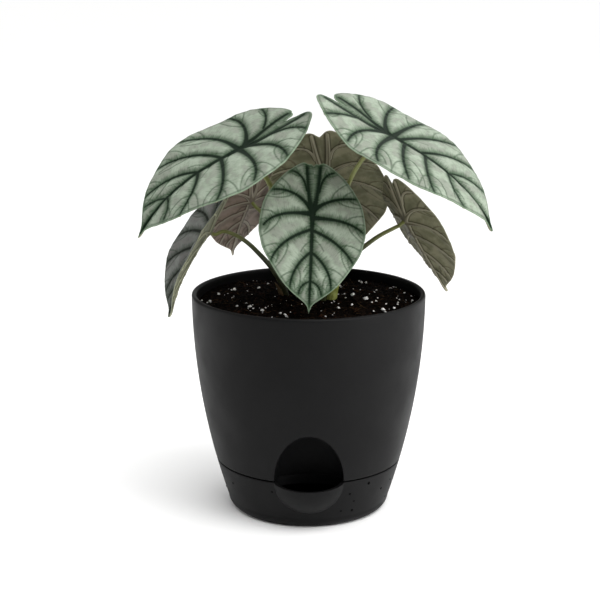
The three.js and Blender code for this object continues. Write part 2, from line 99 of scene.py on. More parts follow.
class Loft:
    """A closed mesh put together from loops of points and one wall with an arched mouth in its edge."""

    PATCH_ANGLE = 0.62
    PATCH_COLUMNS = 44
    PATCH_ROWS = 26
    REST_COLUMNS = 150
    EDGE_STEPS = (0, 0.12, 0.35, 0.9)
    FAR_ROW_HEIGHT = 3
    # The mouth's surround grows by this share before the wall starts to bend into it
    SURROUND = 1.06
    CREASE_DEGREES = 38

    def __init__(self):
        self.points = []
        self.faces = []

    def point(self, x, y, z):
        self.points.append((x, y, z))
        return len(self.points) - 1

    def bridge(self, first, second):
        """Joins two closed loops that have the same number of points."""
        count = len(first)
        for i in range(count):
            k = (i + 1) % count
            self.faces.append((first[i], first[k], second[k], second[i]))

    def cap(self, loop, z):
        """Closes a loop with a fan to a point on the axis."""
        centre = self.point(0, 0, z)
        for i in range(len(loop)):
            self.faces.append((loop[i], loop[(i + 1) % len(loop)], centre))

    def ring_like(self, loop, radius_of, z):
        """A new loop at height z, each point at its old bearing and the radius that radius_of gives."""
        made = []
        for index in loop:
            x, y, _ = self.points[index]
            old = math.hypot(x, y)
            new = radius_of(old)
            made.append(self.point(x * new / old, y * new / old, z))
        return made

    def mouthed_wall(self, radius_at, z_edge, z_patch, z_far, half_width, half_height, depth,
                     dip=0.0, power=0.5):
        """A wall of revolution whose edge at z_edge has a half-ellipse pushed in by depth, or out if
        negative, and whose edge sinks by dip there. Returns the loop along that edge and the one at z_far."""
        side = 1 if z_far > z_edge else -1
        angles = list(np.linspace(-self.PATCH_ANGLE, self.PATCH_ANGLE, self.PATCH_COLUMNS + 1))
        rest = np.linspace(self.PATCH_ANGLE, 2 * math.pi - self.PATCH_ANGLE, self.REST_COLUMNS + 1)
        angles += list(rest[1:-1])
        patch_rows = self.PATCH_ROWS
        heights = [z_edge + side * step for step in self.EDGE_STEPS]
        heights += list(np.linspace(z_edge + side * 2, z_patch, patch_rows - 3))
        far_rows = max(4, int(abs(z_far - z_patch) / self.FAR_ROW_HEIGHT))
        heights += list(np.linspace(z_patch, z_far, far_rows + 1)[1:])
        grid = {}
        columns = len(angles)
        for i, z in enumerate(heights):
            for j, angle in enumerate(angles):
                if i < patch_rows and 0 < j < self.PATCH_COLUMNS:
                    continue
                radius = radius_at(z)
                grid[i, j] = self.point(radius * math.sin(angle), -radius * math.cos(angle), z)
        for i in range(len(heights) - 1):
            for j in range(columns):
                if i < patch_rows and j < self.PATCH_COLUMNS:
                    continue
                k = (j + 1) % columns
                self.faces.append((grid[i, j], grid[i, k], grid[i + 1, k], grid[i + 1, j]))
        border = [grid[i, 0] for i in range(patch_rows + 1)]
        border += [grid[patch_rows, j] for j in range(1, self.PATCH_COLUMNS + 1)]
        border += [grid[i, self.PATCH_COLUMNS] for i in range(patch_rows - 1, -1, -1)]
        # Rings from the patch's border to the mouth's surround, then over its rim and in towards its middle.
        # Each has its share of the way or of the mouth, and how far it is pushed at least.
        rings = [("surround", share, 0.0) for share in (0.25, 0.5, 0.72, 0.88)]
        rings += [("mouth", 1 + 0.035 * gap, 0.0) for gap in (1.4, 0.55)]
        rings += [("mouth", 1.006, 0.18), ("mouth", 0.9995, 0.62)]
        rings += [("mouth", math.sin(turn), 0.0) for turn in np.linspace(1.47, 0.09, 22)]
        previous = border
        left, right = [], []
        for kind, share, least_push in rings:
            made = []
            for index in border:
                x0, _, z0 = self.points[index]
                rise = (z0 - z_edge) * side
                bearing = math.atan2(rise / half_height, x0 / half_width)
                if kind == "surround":
                    x = x0 + (self.SURROUND * half_width * math.cos(bearing) - x0) * share
                    z_rise = rise + (self.SURROUND * half_height * math.sin(bearing) - rise) * share
                    z = z_edge + side * z_rise
                    pushed = 0.0
                else:
                    x = share * half_width * math.cos(bearing)
                    z_rise = share * half_height * math.sin(bearing)
                    inside = max(0.0, 1 - share**2)
                    z = z_edge + side * z_rise
                    z -= dip * math.sqrt(inside) * (1 - z_rise / half_height)
                    pushed = max(abs(depth) * inside**power, least_push)
                radius = radius_at(z)
                y = -math.sqrt(radius * radius - x * x) + math.copysign(pushed, depth)
                made.append(self.point(x, y, z))
            for k in range(len(border) - 1):
                self.faces.append((previous[k], previous[k + 1], made[k + 1], made[k]))
            left.append(made[0])
            right.append(made[-1])
            previous = made
        middle = self.point(0, -radius_at(z_edge - dip) + depth, z_edge - dip)
        for k in range(len(border) - 1):
            self.faces.append((previous[k], previous[k + 1], middle))
        edge = [grid[0, j] for j in range(self.PATCH_COLUMNS, columns)] + [grid[0, 0]]
        edge += left + [middle] + right[::-1]
        far = [grid[len(heights) - 1, j] for j in range(columns)]
        return edge, far

    def finish(self, name):
        """The points and faces as one piece, with normals pointing out and creases kept sharp."""
        mesh = bpy.data.meshes.new(name)
        places = [(x * MM, y * MM, z * MM) for x, y, z in self.points]
        mesh.from_pydata(places, [], self.faces)
        made = bmesh.new()
        made.from_mesh(mesh)
        bmesh.ops.remove_doubles(made, verts=made.verts, dist=1e-7)
        bmesh.ops.recalc_face_normals(made, faces=made.faces)
        crease = math.radians(self.CREASE_DEGREES)
        for edge in made.edges:
            edge.smooth = len(edge.link_faces) == 2 and edge.calc_face_angle() < crease
        for face in made.faces:
            face.smooth = True
        made.to_mesh(mesh)
        made.free()
        piece = bpy.data.objects.new(name, mesh)
        bpy.context.scene.collection.objects.link(piece)
        return piece


tray = Loft()
tray_top = SEAM_Z - SEAM_GAP / 2
scoop_edge, tray_foot = tray.mouthed_wall(
    lambda z: wall_radius(z) - rounded_edge(tray_top - z), tray_top, SCOOP_FOOT_Z, UNDERSIDE_CORNER,
    MOUTH_HALF_WIDTH, SCOOP_DROP, -SCOOP_REACH, SCOOP_LIP_DIP, SCOOP_FULLNESS,
)
loop = tray_foot
corner_centre = wall_radius(UNDERSIDE_CORNER) - UNDERSIDE_CORNER
for step in range(1, UNDERSIDE_CORNER_STEPS + 1):
    turn = step * math.pi / (2 * UNDERSIDE_CORNER_STEPS)
    corner_radius = corner_centre + UNDERSIDE_CORNER * math.cos(turn)
    corner_z = UNDERSIDE_CORNER * (1 - math.sin(turn))
    ring = tray.ring_like(loop, lambda _, r=corner_radius: r, corner_z)
    tray.bridge(loop, ring)
    loop = ring
for ring_radius, ring_z in ((FOOT_RING_RADIUS, 0.0), (FOOT_RECESS_RADIUS, FOOT_RECESS)):
    ring = tray.ring_like(loop, lambda _, r=ring_radius: r, ring_z)
    tray.bridge(loop, ring)
    loop = ring
tray.cap(loop, FOOT_RECESS)
inner_edge, inner_foot = tray.mouthed_wall(
    lambda z: wall_radius(z) - TRAY_WALL, tray_top, SCOOP_INNER_FOOT_Z, TRAY_INNER_FOOT_Z,
    MOUTH_HALF_WIDTH - TRAY_WALL, SCOOP_DROP - TRAY_WALL, -SCOOP_REACH, SCOOP_LIP_DIP, SCOOP_FULLNESS,
)
tray.bridge(scoop_edge, inner_edge)
loop = inner_foot
for ring_radius, ring_z in TRAY_BOWL:
    ring = tray.ring_like(loop, lambda _, r=ring_radius: r, ring_z)
    tray.bridge(loop, ring)
    loop = ring
tray.cap(loop, TRAY_FLOOR)
tray_piece = tray.finish("water_tray")


def add_node(tree, kind, sockets=None, **settings):
    """A node with its settings, and its sockets set to values or linked to other nodes' outputs."""
    made = tree.nodes.new(kind)
    for name, value in settings.items():
        setattr(made, name, value)
    for name, value in (sockets or {}).items():
        if isinstance(value, bpy.types.NodeSocket):
            tree.links.new(value, made.inputs[name])
        else:
            made.inputs[name].default_value = value
    return made


def calc(tree, operation, first, second=0.0, third=0.0):
    """The result of one sum on up to three values."""
    made = add_node(tree, "ShaderNodeMath", {0: first, 1: second, 2: third}, operation=operation)
    return made.outputs[0]


def ramp(tree, value, low, high, to_low=0.0, to_high=1.0):
    """Maps a value from low..high to to_low..to_high with soft ends."""
    sockets = {"Value": value, "From Min": low, "From Max": high, "To Min": to_low, "To Max": to_high}
    return add_node(tree, "ShaderNodeMapRange", sockets, interpolation_type="SMOOTHSTEP").outputs[0]


def mix_colour(tree, share, first, second):
    """A colour between the first and the second, by a share from 0 to 1."""
    made = add_node(tree, "ShaderNodeMix", {"Factor": share}, data_type="RGBA", blend_type="MIX")
    for socket, value in ((made.inputs[6], first), (made.inputs[7], second)):
        if isinstance(value, bpy.types.NodeSocket):
            tree.links.new(value, socket)
        else:
            socket.default_value = value
    return made.outputs[2]


def noise(tree, place, scale, detail, roughness):
    sockets = {"Vector": place, "Scale": scale, "Detail": detail, "Roughness": roughness}
    return add_node(tree, "ShaderNodeTexNoise", sockets).outputs["Fac"]


def moulded_plastic_group():
    """Fine moulded grain, faint flow marks and thin dust, for every black plastic surface."""
    group = bpy.data.node_groups.new("moulded plastic finish", "ShaderNodeTree")
    group.interface.new_socket("Place", in_out="INPUT", socket_type="NodeSocketVector")
    group.interface.new_socket("Dust", in_out="INPUT", socket_type="NodeSocketFloat")
    for name in ("Colour shift", "Roughness", "Height"):
        group.interface.new_socket(name, in_out="OUTPUT", socket_type="NodeSocketFloat")
    start = group.nodes.new("NodeGroupInput")
    end = group.nodes.new("NodeGroupOutput")
    place = start.outputs["Place"]
    grain = noise(group, place, 1400, 3, 0.6)
    cloud = noise(group, place, 26, 4, 0.55)
    speck = ramp(group, noise(group, place, 420, 2, 0.5), 0.68, 0.76)
    dust = calc(group, "MULTIPLY", speck, start.outputs["Dust"])
    shift = calc(group, "ADD", calc(group, "MULTIPLY", cloud, 0.35), dust)
    group.links.new(shift, end.inputs["Colour shift"])
    rough = calc(group, "ADD", ramp(group, cloud, 0.3, 0.7, 0.46, 0.56), calc(group, "MULTIPLY", grain, 0.06))
    group.links.new(rough, end.inputs["Roughness"])
    group.links.new(calc(group, "ADD", grain, calc(group, "MULTIPLY", dust, 2.0)), end.inputs["Height"])
    return group


MOULDED_PLASTIC = moulded_plastic_group()


def new_material(name):
    material = bpy.data.materials.new(name)
    material.use_nodes = True
    tree = material.node_tree
    return material, tree, tree.nodes["Principled BSDF"]


def black_plastic(name, dark, light, dust, shine=0.14):
    """Matt black plastic with a little dust."""
    material, tree, surface = new_material(name)
    place = tree.nodes.new("ShaderNodeTexCoord").outputs["Object"]
    finish = add_node(tree, "ShaderNodeGroup", node_tree=MOULDED_PLASTIC)
    tree.links.new(place, finish.inputs["Place"])
    finish.inputs["Dust"].default_value = dust
    colour = mix_colour(tree, finish.outputs["Colour shift"], dark, light)
    tree.links.new(colour, surface.inputs["Base Color"])
    tree.links.new(finish.outputs["Roughness"], surface.inputs["Roughness"])
    surface.inputs["Specular IOR Level"].default_value = shine
    relief = {"Height": finish.outputs["Height"], "Strength": 0.35, "Distance": 0.00012}
    bump = add_node(tree, "ShaderNodeBump", relief)
    tree.links.new(bump.outputs[0], surface.inputs["Normal"])
    return material


def stand_for(piece, node):
    """Lets a piece show in place of a node of the frame: hangs it on the root and hides the node."""
    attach(piece, "root")
    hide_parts(node)


PLASTIC_DARK = (0.0018, 0.0018, 0.002, 1)
PLASTIC_LIGHT = (0.005, 0.005, 0.0054, 1)
tray_piece.data.materials.append(black_plastic("tray black plastic", PLASTIC_DARK, PLASTIC_LIGHT, 0.3))
stand_for(tray_piece, "reservoir_tray")

# Specks on the tray
# A few small dark drops, two or three millimetres wide, have dried on the outside of the tray.
PHOTO_PIXELS = 600
SPECK_FLATNESS = 0.42
# The pot's near side lies between these distances from the lens, searched in steps, all in mm.
NEAREST_REACH = 1200
FARTHEST_REACH = 1420
REACH_STEP = 0.05
# Specks listed from the photo: column, row and width in mm
SPECK_SPOTS = [
    (369, 483, 3.2), (381, 488, 2.6), (385, 496, 1.8), (350, 494, 2.2), (354, 501, 1.8),
    (352, 510, 2.8), (341, 511, 1.8), (233, 483, 2.0), (272, 492, 1.9), (390, 479, 1.8),
    (331, 502, 1.8),
]
# Specks on the sides that the photo doesn't show: bearing in degrees from the front, height and width in mm
HIDDEN_SPECKS = [(84, 24, 2.0), (-80, 18, 1.9), (120, 30, 2.2)]


def sight_line(column, row):
    """The line of sight through a pixel of the photo: the lens and the way ahead, in mm."""
    pixels_per_slope = PHOTO_PIXELS * CAMERA_LENS / CAMERA_SENSOR
    aside = (column - PHOTO_PIXELS / 2) / pixels_per_slope
    rise = (PHOTO_PIXELS / 2 - row) / pixels_per_slope
    down = math.radians(CAMERA_DOWN_DEGREES)
    ahead = (aside, math.cos(down) + rise * math.sin(down), rise * math.cos(down) - math.sin(down))
    return np.array(CAMERA_PLACE) / MM, np.array(ahead)


def spot_on_wall(column, row):
    """Bearing from the front and height at which a line of sight meets the pot's outside."""
    lens, ahead = sight_line(column, row)
    for reach in np.arange(NEAREST_REACH, FARTHEST_REACH, REACH_STEP):
        x, y, z = lens + ahead * reach
        if math.hypot(x, y) <= wall_radius(z):
            return math.degrees(math.atan2(x, -y)), z
    raise ValueError("a speck's line of sight misses the pot")


specks = [(*spot_on_wall(column, row), width) for column, row, width in SPECK_SPOTS] + HIDDEN_SPECKS
drops = bmesh.new()
for bearing, z, width in specks:
    turn = math.radians(bearing)
    radius = wall_radius(z)
    spot = bmesh.ops.create_uvsphere(drops, u_segments=12, v_segments=8, radius=width / 2 * MM)
    for vertex in spot["verts"]:
        vertex.co.y *= SPECK_FLATNESS
        x, y = vertex.co.x, vertex.co.y
        vertex.co.x = x * math.cos(turn) - y * math.sin(turn) + radius * math.sin(turn) * MM
        vertex.co.y = x * math.sin(turn) + y * math.cos(turn) - radius * math.cos(turn) * MM
        vertex.co.z += z * MM
speck_mesh = bpy.data.meshes.new("tray_specks")
drops.to_mesh(speck_mesh)
drops.free()
speck_mesh.polygons.foreach_set("use_smooth", [True] * len(speck_mesh.polygons))
tray_specks = bpy.data.objects.new("tray_specks", speck_mesh)
bpy.context.scene.collection.objects.link(tray_specks)
speck_mesh.materials.append(
    black_plastic("speck black", (0.0006, 0.0006, 0.0006, 1), (0.001, 0.001, 0.001, 1), 0.0, 0.03)
)
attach(tray_specks, "root")

# Planter body
# The upper part of the pot is a second black moulding that nests in the tray's lip with a thin dark seam.
# It has a rounded rim, an arched hollow above the scoop, a floor, and a well that reaches down to the water.
ARCH_HEIGHT = 47.3
ARCH_DEPTH = 25.2
ARCH_TOP_ROOM_Z = 112
ARCH_SHELL = 3.0
ARCH_BACK_SHELL = 2.4
WALL = 3.5
WALL_THICKENS_BELOW_Z = 58
WALL_THICKENING = 0.28
RIM_THICKNESS = 4.6
RIM_STEPS = 10
INNER_WALL_TOP_DROP = 6
SKIRT_INSET = 3.2
PLANTER_FLOOR_Z = 38.3
FLOOR_THICKNESS = 3.2
WELL_RADIUS = 26.0
WELL_BOTTOM_Z = 8.0
WELL_WALL = 3
WELL_TAPER = 1
FLOOR_RIM_INSET = 0.5


def inside_radius(z, clearance=0.0):
    """Radius of the planter's inside, less a clearance. Its wall thickens towards the floor."""
    return wall_radius(z) - WALL - clearance - max(0.0, (WALL_THICKENS_BELOW_Z - z) * WALL_THICKENING)


planter = Loft()
planter_bottom = SEAM_Z + SEAM_GAP / 2
rim_radius = RIM_THICKNESS / 2
rim_centre_z = POT_HEIGHT - rim_radius
arch_edge, wall_top = planter.mouthed_wall(
    lambda z: wall_radius(z) - rounded_edge(z - planter_bottom),
    planter_bottom, ARCH_TOP_ROOM_Z, rim_centre_z, MOUTH_HALF_WIDTH, ARCH_HEIGHT, ARCH_DEPTH,
)
arch_inner, wall_top_inner = planter.mouthed_wall(
    inside_radius, planter_bottom, ARCH_TOP_ROOM_Z, rim_centre_z - INNER_WALL_TOP_DROP,
    MOUTH_HALF_WIDTH + ARCH_SHELL, ARCH_HEIGHT + ARCH_SHELL, ARCH_DEPTH + ARCH_BACK_SHELL,
)
loop = wall_top
for step in range(1, RIM_STEPS):
    turn = step * math.pi / RIM_STEPS
    lip = RIM_RADIUS - rim_radius + rim_radius * math.cos(turn)
    ring = planter.ring_like(loop, lambda _, r=lip: r, rim_centre_z + rim_radius * math.sin(turn))
    planter.bridge(loop, ring)
    loop = ring
ring = planter.ring_like(loop, lambda _: RIM_RADIUS - RIM_THICKNESS, rim_centre_z - 1)
planter.bridge(loop, ring)
planter.bridge(ring, wall_top_inner)
floor_z = PLANTER_FLOOR_Z + FLOOR_THICKNESS
well_floor_z = WELL_BOTTOM_Z + WELL_WALL
# The underside runs from the arch's edge over the skirt and down the outside of the well, and the inside
# from the arch's shell over the floor and down into the well: how the radius changes, and the height.
UNDERSIDE = (
    (lambda r: min(r, wall_radius(planter_bottom) - SKIRT_INSET), planter_bottom),
    (lambda r: min(r, wall_radius(PLANTER_FLOOR_Z) - SKIRT_INSET), PLANTER_FLOOR_Z),
    (lambda _: WELL_RADIUS, PLANTER_FLOOR_Z),
    (lambda _: WELL_RADIUS - WELL_TAPER, WELL_BOTTOM_Z),
)
INSIDE = (
    (lambda r: r - FLOOR_RIM_INSET, floor_z),
    (lambda _: WELL_RADIUS - WELL_WALL, floor_z),
    (lambda _: WELL_RADIUS - WELL_WALL - WELL_TAPER, well_floor_z),
)
for loop, rings, closed_at in ((arch_edge, UNDERSIDE, WELL_BOTTOM_Z), (arch_inner, INSIDE, well_floor_z)):
    for radius_of, ring_z in rings:
        ring = planter.ring_like(loop, radius_of, ring_z)
        planter.bridge(loop, ring)
        loop = ring
    planter.cap(loop, closed_at)
planter_piece = planter.finish("planter")
planter_piece.data.materials.append(black_plastic("planter black plastic", PLASTIC_DARK, PLASTIC_LIGHT, 0.12))
stand_for(planter_piece, "planter_body")

# Potting mix
# Dark, moist mix of peat, bark and fibre fills the planter to about a centimetre under the rim.
# Its crumbs, bark chips, fibres and white perlite grains are strewn over the surface and half sunk in it.
SOIL_RADIUS = 103.5
SOIL_EDGE_Z = 192.5
SOIL_MOUND = 3.5
SOIL_CLEARANCE = 0.6
# Heights of the rings down the soil's side, and the room that it leaves round the arch's hollow.
SOIL_SIDE_HEIGHTS = (160, 125, 108, 102, 98, 92, 84, 75, 66, 57, 49, 43)
HOLLOW_HALF_WIDTH = 35
HOLLOW_HEIGHT = 53.6
HOLLOW_DEPTH = 27.5
# Waves that crumble the soil's top: waves per mm, height in mm and how many of them.
CRUMBLE = ((0.05, 0.9, 5), (0.14, 0.45, 7), (0.45, 0.28, 14), (1.1, 0.2, 22), (2.2, 0.1, 26))


def soil_mesh():
    """A closed solid: a finely crumbled top, and plain sides and bottom against the planter."""
    rings, spokes = 130, 360
    chance = np.random.default_rng(4)
    radius = np.linspace(0, 1, rings + 1)[1:, None] ** 0.8 * SOIL_RADIUS
    turn = np.linspace(0, 2 * math.pi, spokes, endpoint=False)[None, :]
    x, y = radius * np.cos(turn), radius * np.sin(turn)
    z = SOIL_EDGE_Z + SOIL_MOUND * (1 - (radius / SOIL_RADIUS) ** 2) + 0 * x
    for pitch, height, count in CRUMBLE:
        for _ in range(count):
            bearing, phase = chance.uniform(0, 2 * math.pi, 2)
            own = pitch * chance.uniform(0.7, 1.5)
            ahead = x * np.cos(bearing) + y * np.sin(bearing)
            z = z + height / math.sqrt(count) * 1.4 * np.sin(ahead * own + phase)
    points = [(0.0, 0.0, SOIL_EDGE_Z + SOIL_MOUND)]
    points += np.column_stack([x.ravel(), y.ravel(), z.ravel()]).tolist()
    start = 1 + (rings - 1) * spokes
    for height in SOIL_SIDE_HEIGHTS:
        wall = inside_radius(height, SOIL_CLEARANCE)
        for bearing in turn[0]:
            reach = wall
            for _ in range(12):
                x = reach * math.cos(bearing)
                rise = 1 - (x / HOLLOW_HALF_WIDTH) ** 2 - ((height - SEAM_Z) / HOLLOW_HEIGHT) ** 2
                if rise <= 0 or math.sin(bearing) > -0.5:
                    break
                hollow = math.sqrt(wall * wall - x * x) - HOLLOW_DEPTH * math.sqrt(rise)
                reach = min(wall, hollow / -math.sin(bearing))
            points.append((reach * math.cos(bearing), reach * math.sin(bearing), height))
    points.append((0.0, 0.0, SOIL_SIDE_HEIGHTS[-1]))
    faces = [(0, 1 + j, 1 + (j + 1) % spokes) for j in range(spokes)]
    for i in range(rings - 1 + len(SOIL_SIDE_HEIGHTS)):
        a = 1 + i * spokes
        b = a + spokes
        faces += [(a + j, b + j, b + (j + 1) % spokes, a + (j + 1) % spokes) for j in range(spokes)]
    last = 1 + (rings - 1 + len(SOIL_SIDE_HEIGHTS)) * spokes
    faces += [(last + j, len(points) - 1, last + (j + 1) % spokes) for j in range(spokes)]
    mesh = bpy.data.meshes.new("soil")
    mesh.from_pydata([(a * MM, b * MM, c * MM) for a, b, c in points], [], faces)
    mesh.polygons.foreach_set("use_smooth", [True] * len(faces))
    return mesh


def settle(piece, tree, inputs):
    """Runs a Geometry Nodes tree on a piece with its inputs set, and keeps the result as the plain mesh."""
    modifier = piece.modifiers.new(tree.name, "NODES")
    modifier.node_group = tree
    for item in tree.interface.items_tree:
        if item.in_out == "INPUT" and item.name in inputs:
            value = inputs[item.name]
            if isinstance(value, np.ndarray):
                value = value.tolist()
            modifier[item.identifier] = value
    graph = bpy.context.evaluated_depsgraph_get()
    done = bpy.data.meshes.new_from_object(piece.evaluated_get(graph))
    piece.modifiers.remove(modifier)
    if piece.type == "MESH":
        piece.data = done
        return piece
    name = piece.name
    bpy.data.objects.remove(piece)
    made = bpy.data.objects.new(name, done)
    bpy.context.scene.collection.objects.link(made)
    return made


# Only the soil's top is strewn: above this height and within this distance of the axis, in mm.
STREWN_ABOVE_Z = 185
STREWN_REACH = 101


def strewn_tree(name, shape, listed=False):
    """Strews a small shape over the top of a surface, or over listed points of given sizes."""
    tree = bpy.data.node_groups.new(name, "GeometryNodeTree")
    tree.interface.new_socket("Ground", in_out="INPUT", socket_type="NodeSocketGeometry")
    for label in ("Per square metre", "Smallest", "Largest", "Flatness", "Sunk", "Reach", "Apart"):
        tree.interface.new_socket(label, in_out="INPUT", socket_type="NodeSocketFloat")
    tree.interface.new_socket("Seed", in_out="INPUT", socket_type="NodeSocketInt")
    tree.interface.new_socket("Material", in_out="INPUT", socket_type="NodeSocketMaterial")
    tree.interface.new_socket("Pieces", in_out="OUTPUT", socket_type="NodeSocketGeometry")
    start = tree.nodes.new("NodeGroupInput").outputs
    end = tree.nodes.new("NodeGroupOutput")
    place = tree.nodes.new("GeometryNodeInputPosition").outputs[0]
    parts = add_node(tree, "ShaderNodeSeparateXYZ", {0: place}).outputs
    flat = add_node(tree, "ShaderNodeCombineXYZ", {0: parts[0], 1: parts[1]}).outputs[0]
    away = add_node(tree, "ShaderNodeVectorMath", {0: flat}, operation="LENGTH").outputs["Value"]
    inside = calc(tree, "LESS_THAN", away, start["Reach"])
    high = calc(tree, "GREATER_THAN", parts[2], STREWN_ABOVE_Z * MM)
    chosen = calc(tree, "MULTIPLY", inside, high)
    spread = add_node(tree, "GeometryNodeDistributePointsOnFaces", {
        "Mesh": start["Ground"], "Selection": chosen, "Distance Min": start["Apart"],
        "Density Max": start["Per square metre"], "Seed": start["Seed"]}, distribute_method="POISSON")
    sizes = add_node(tree, "FunctionNodeRandomValue", {
        2: start["Smallest"], 3: start["Largest"], "Seed": start["Seed"]}, data_type="FLOAT").outputs[1]
    points = spread.outputs["Points"]
    if listed:
        points = start["Ground"]
        given = add_node(tree, "GeometryNodeInputNamedAttribute", {"Name": "size"}, data_type="FLOAT")
        sizes = given.outputs[0]
    squash = add_node(tree, "FunctionNodeRandomValue", {0: (0.75, 0.75, 0.6), 1: (1.25, 1.25, 1.0)},
                      data_type="FLOAT_VECTOR").outputs[0]
    scale = add_node(tree, "ShaderNodeVectorMath", {0: squash, "Scale": sizes}, operation="SCALE").outputs[0]
    flatten = add_node(tree, "ShaderNodeCombineXYZ", {0: 1.0, 1: 1.0, 2: start["Flatness"]}).outputs[0]
    scale = add_node(tree, "ShaderNodeVectorMath", {0: scale, 1: flatten}, operation="MULTIPLY").outputs[0]
    lean = add_node(tree, "FunctionNodeRandomValue", {0: (-0.5, -0.5, 0), 1: (0.5, 0.5, 6.283)},
                    data_type="FLOAT_VECTOR").outputs[0]
    sink = calc(tree, "MULTIPLY", calc(tree, "MULTIPLY", sizes, start["Sunk"]), -1.0)
    lower = add_node(tree, "ShaderNodeCombineXYZ", {2: sink}).outputs[0]
    sunk = add_node(tree, "GeometryNodeSetPosition", {"Geometry": points, "Offset": lower})
    source = add_node(tree, "GeometryNodeObjectInfo", {"Object": shape}).outputs["Geometry"]
    turned = add_node(tree, "FunctionNodeEulerToRotation", {0: lean}).outputs[0]
    strewn = add_node(tree, "GeometryNodeInstanceOnPoints", {
        "Points": sunk.outputs[0], "Instance": source, "Rotation": turned, "Scale": scale})
    joined = add_node(tree, "GeometryNodeRealizeInstances", {"Geometry": strewn.outputs[0]})
    painted = add_node(tree, "GeometryNodeSetMaterial", {
        "Geometry": joined.outputs[0], "Material": start["Material"]})
    tree.links.new(painted.outputs[0], end.inputs[0])
    return tree


def lump(name, subdivisions, roughness, seed, stretch=(1, 1, 1)):
    """A knobbly unit lump that a strewing tree repeats."""
    made = bmesh.new()
    bmesh.ops.create_icosphere(made, subdivisions=subdivisions, radius=0.5)
    chance = np.random.default_rng(seed)
    waves = [(chance.normal(size=3) * 5, chance.uniform(0, 6.3)) for _ in range(6)]
    for vertex in made.verts:
        bulge = sum(math.sin(float(np.dot(vertex.co, wave)) + phase) for wave, phase in waves)
        vertex.co *= 1 + roughness * bulge / 3
        for axis in range(3):
            vertex.co[axis] *= stretch[axis]
    mesh = bpy.data.meshes.new(name)
    made.to_mesh(mesh)
    made.free()
    mesh.polygons.foreach_set("use_smooth", [subdivisions > 1] * len(mesh.polygons))
    return bpy.data.objects.new(name, mesh)


def earthy_material(name, low, high, scale, roughness, height):
    """Mottled matt colour with a grainy surface, for soil, bark, fibre and roots."""
    material, tree, surface = new_material(name)
    place = tree.nodes.new("ShaderNodeTexCoord").outputs["Object"]
    patches = noise(tree, place, scale, 6, 0.65)
    colour = mix_colour(tree, ramp(tree, patches, 0.4, 0.66), low, high)
    tree.links.new(colour, surface.inputs["Base Color"])
    surface.inputs["Roughness"].default_value = roughness
    surface.inputs["Specular IOR Level"].default_value = 0.02
    fine = noise(tree, place, scale * 3, 5, 0.7)
    bump = add_node(tree, "ShaderNodeBump", {"Height": fine, "Strength": 0.8, "Distance": height})
    tree.links.new(bump.outputs[0], surface.inputs["Normal"])
    return material


soil_piece = bpy.data.objects.new("soil", soil_mesh())
bpy.context.scene.collection.objects.link(soil_piece)
soil_piece.data.materials.append(earthy_material(
    "moist potting mix", (0.0015, 0.0011, 0.001, 1), (0.010, 0.006, 0.004, 1), 260, 0.85, 0.0008
))
stand_for(soil_piece, "potting_mix")
PERLITE = lump("grain", 2, 0.34, 3)
# Looks of what lies on the soil: dark and light colour, scale of the mottling, roughness and relief.
WHITE = ((0.95, 0.94, 0.92, 1), (1.0, 1.0, 0.99, 1), 500, 0.75, 0.0002)
# What is strewn: its name and shape, how many per square metre, smallest and largest size in mm,
# flatness, the share of its size that is sunk, the least distance apart in mm, and its look.
STREWN = (
    ("soil_crumbs", lump("crumb", 1, 0.45, 1), 150000, 0.9, 2.9, 0.8, 0.12, 1.2,
     ((0.0008, 0.0006, 0.0005, 1), (0.0045, 0.0028, 0.0017, 1), 420, 0.85, 0.0005)),
    ("bark_chips", lump("chip", 1, 0.35, 2, (1.7, 0.8, 0.35)), 9000, 2.2, 5.5, 1.0, 0.05, 3.2,
     ((0.004, 0.0018, 0.001, 1), (0.034, 0.014, 0.0075, 1), 300, 0.8, 0.0004)),
    ("fibres", lump("fibre", 2, 0.22, 6, (3.6, 0.10, 0.10)), 12000, 1.6, 5.0, 1.0, -0.06, 1.8,
     ((0.012, 0.007, 0.004, 1), (0.09, 0.055, 0.028, 1), 200, 0.8, 0.0002)),
    ("perlite", PERLITE, 4200, 0.6, 2.0, 0.9, -0.15, 2.6, WHITE),
)
# Larger white grains listed from the photo: column, row and size in mm
GRAIN_SPOTS = [
    (259, 287.6, 2.4), (268, 283.6, 1.6), (210, 301, 2), (237, 306, 2), (246.6, 303, 1.6),
    (250, 307, 3.4), (253, 309, 2.6), (262, 310.4, 3), (265.6, 308, 2.2), (272.4, 302, 2),
    (285, 314.4, 2.2), (286.4, 316.4, 2), (353, 294.6, 3.6), (366, 298.6, 3.4), (369, 294.6, 2.2),
    (383, 309.4, 3.4), (394, 308, 2.4), (338.4, 307.6, 2), (361.6, 282.4, 2), (366, 282.4, 2.2),
    (359, 281, 1.6), (376, 301, 1.8), (413.6, 296, 2), (352, 304.4, 2), (325.4, 316.4, 1.8),
]
# More of them where leaves and rim hide the soil: across, back and size in mm
HIDDEN_GRAINS = [
    (-10, 62, 2.6), (14, 80, 2), (-70, 40, 2.8), (-28, 88, 2.4), (30, 52, 2.2), (78, 45, 2.6),
    (-84, 24, 2), (5, -84, 2.4), (-60, -62, 2.2), (60, -66, 2.4), (-2, 36, 2),
]
GRAIN_LIFT = 0.2
GRAIN_SCALE = 1.15


def resting_height(x, y, size):
    """Height of a large grain's middle where it rests on the mounded soil."""
    soil = SOIL_EDGE_Z + SOIL_MOUND * (1 - (x * x + y * y) / SOIL_RADIUS**2)
    return soil + 0.5 * size + GRAIN_LIFT


def spot_on_soil(column, row, size):
    """Where a line of sight meets the middle of a grain of this size that rests on the soil."""
    lens, ahead = sight_line(column, row)
    x, y = 0.0, 0.0
    for _ in range(6):
        x, y, _ = lens + ahead * (resting_height(x, y, size) - lens[2]) / ahead[2]
    return x, y, size


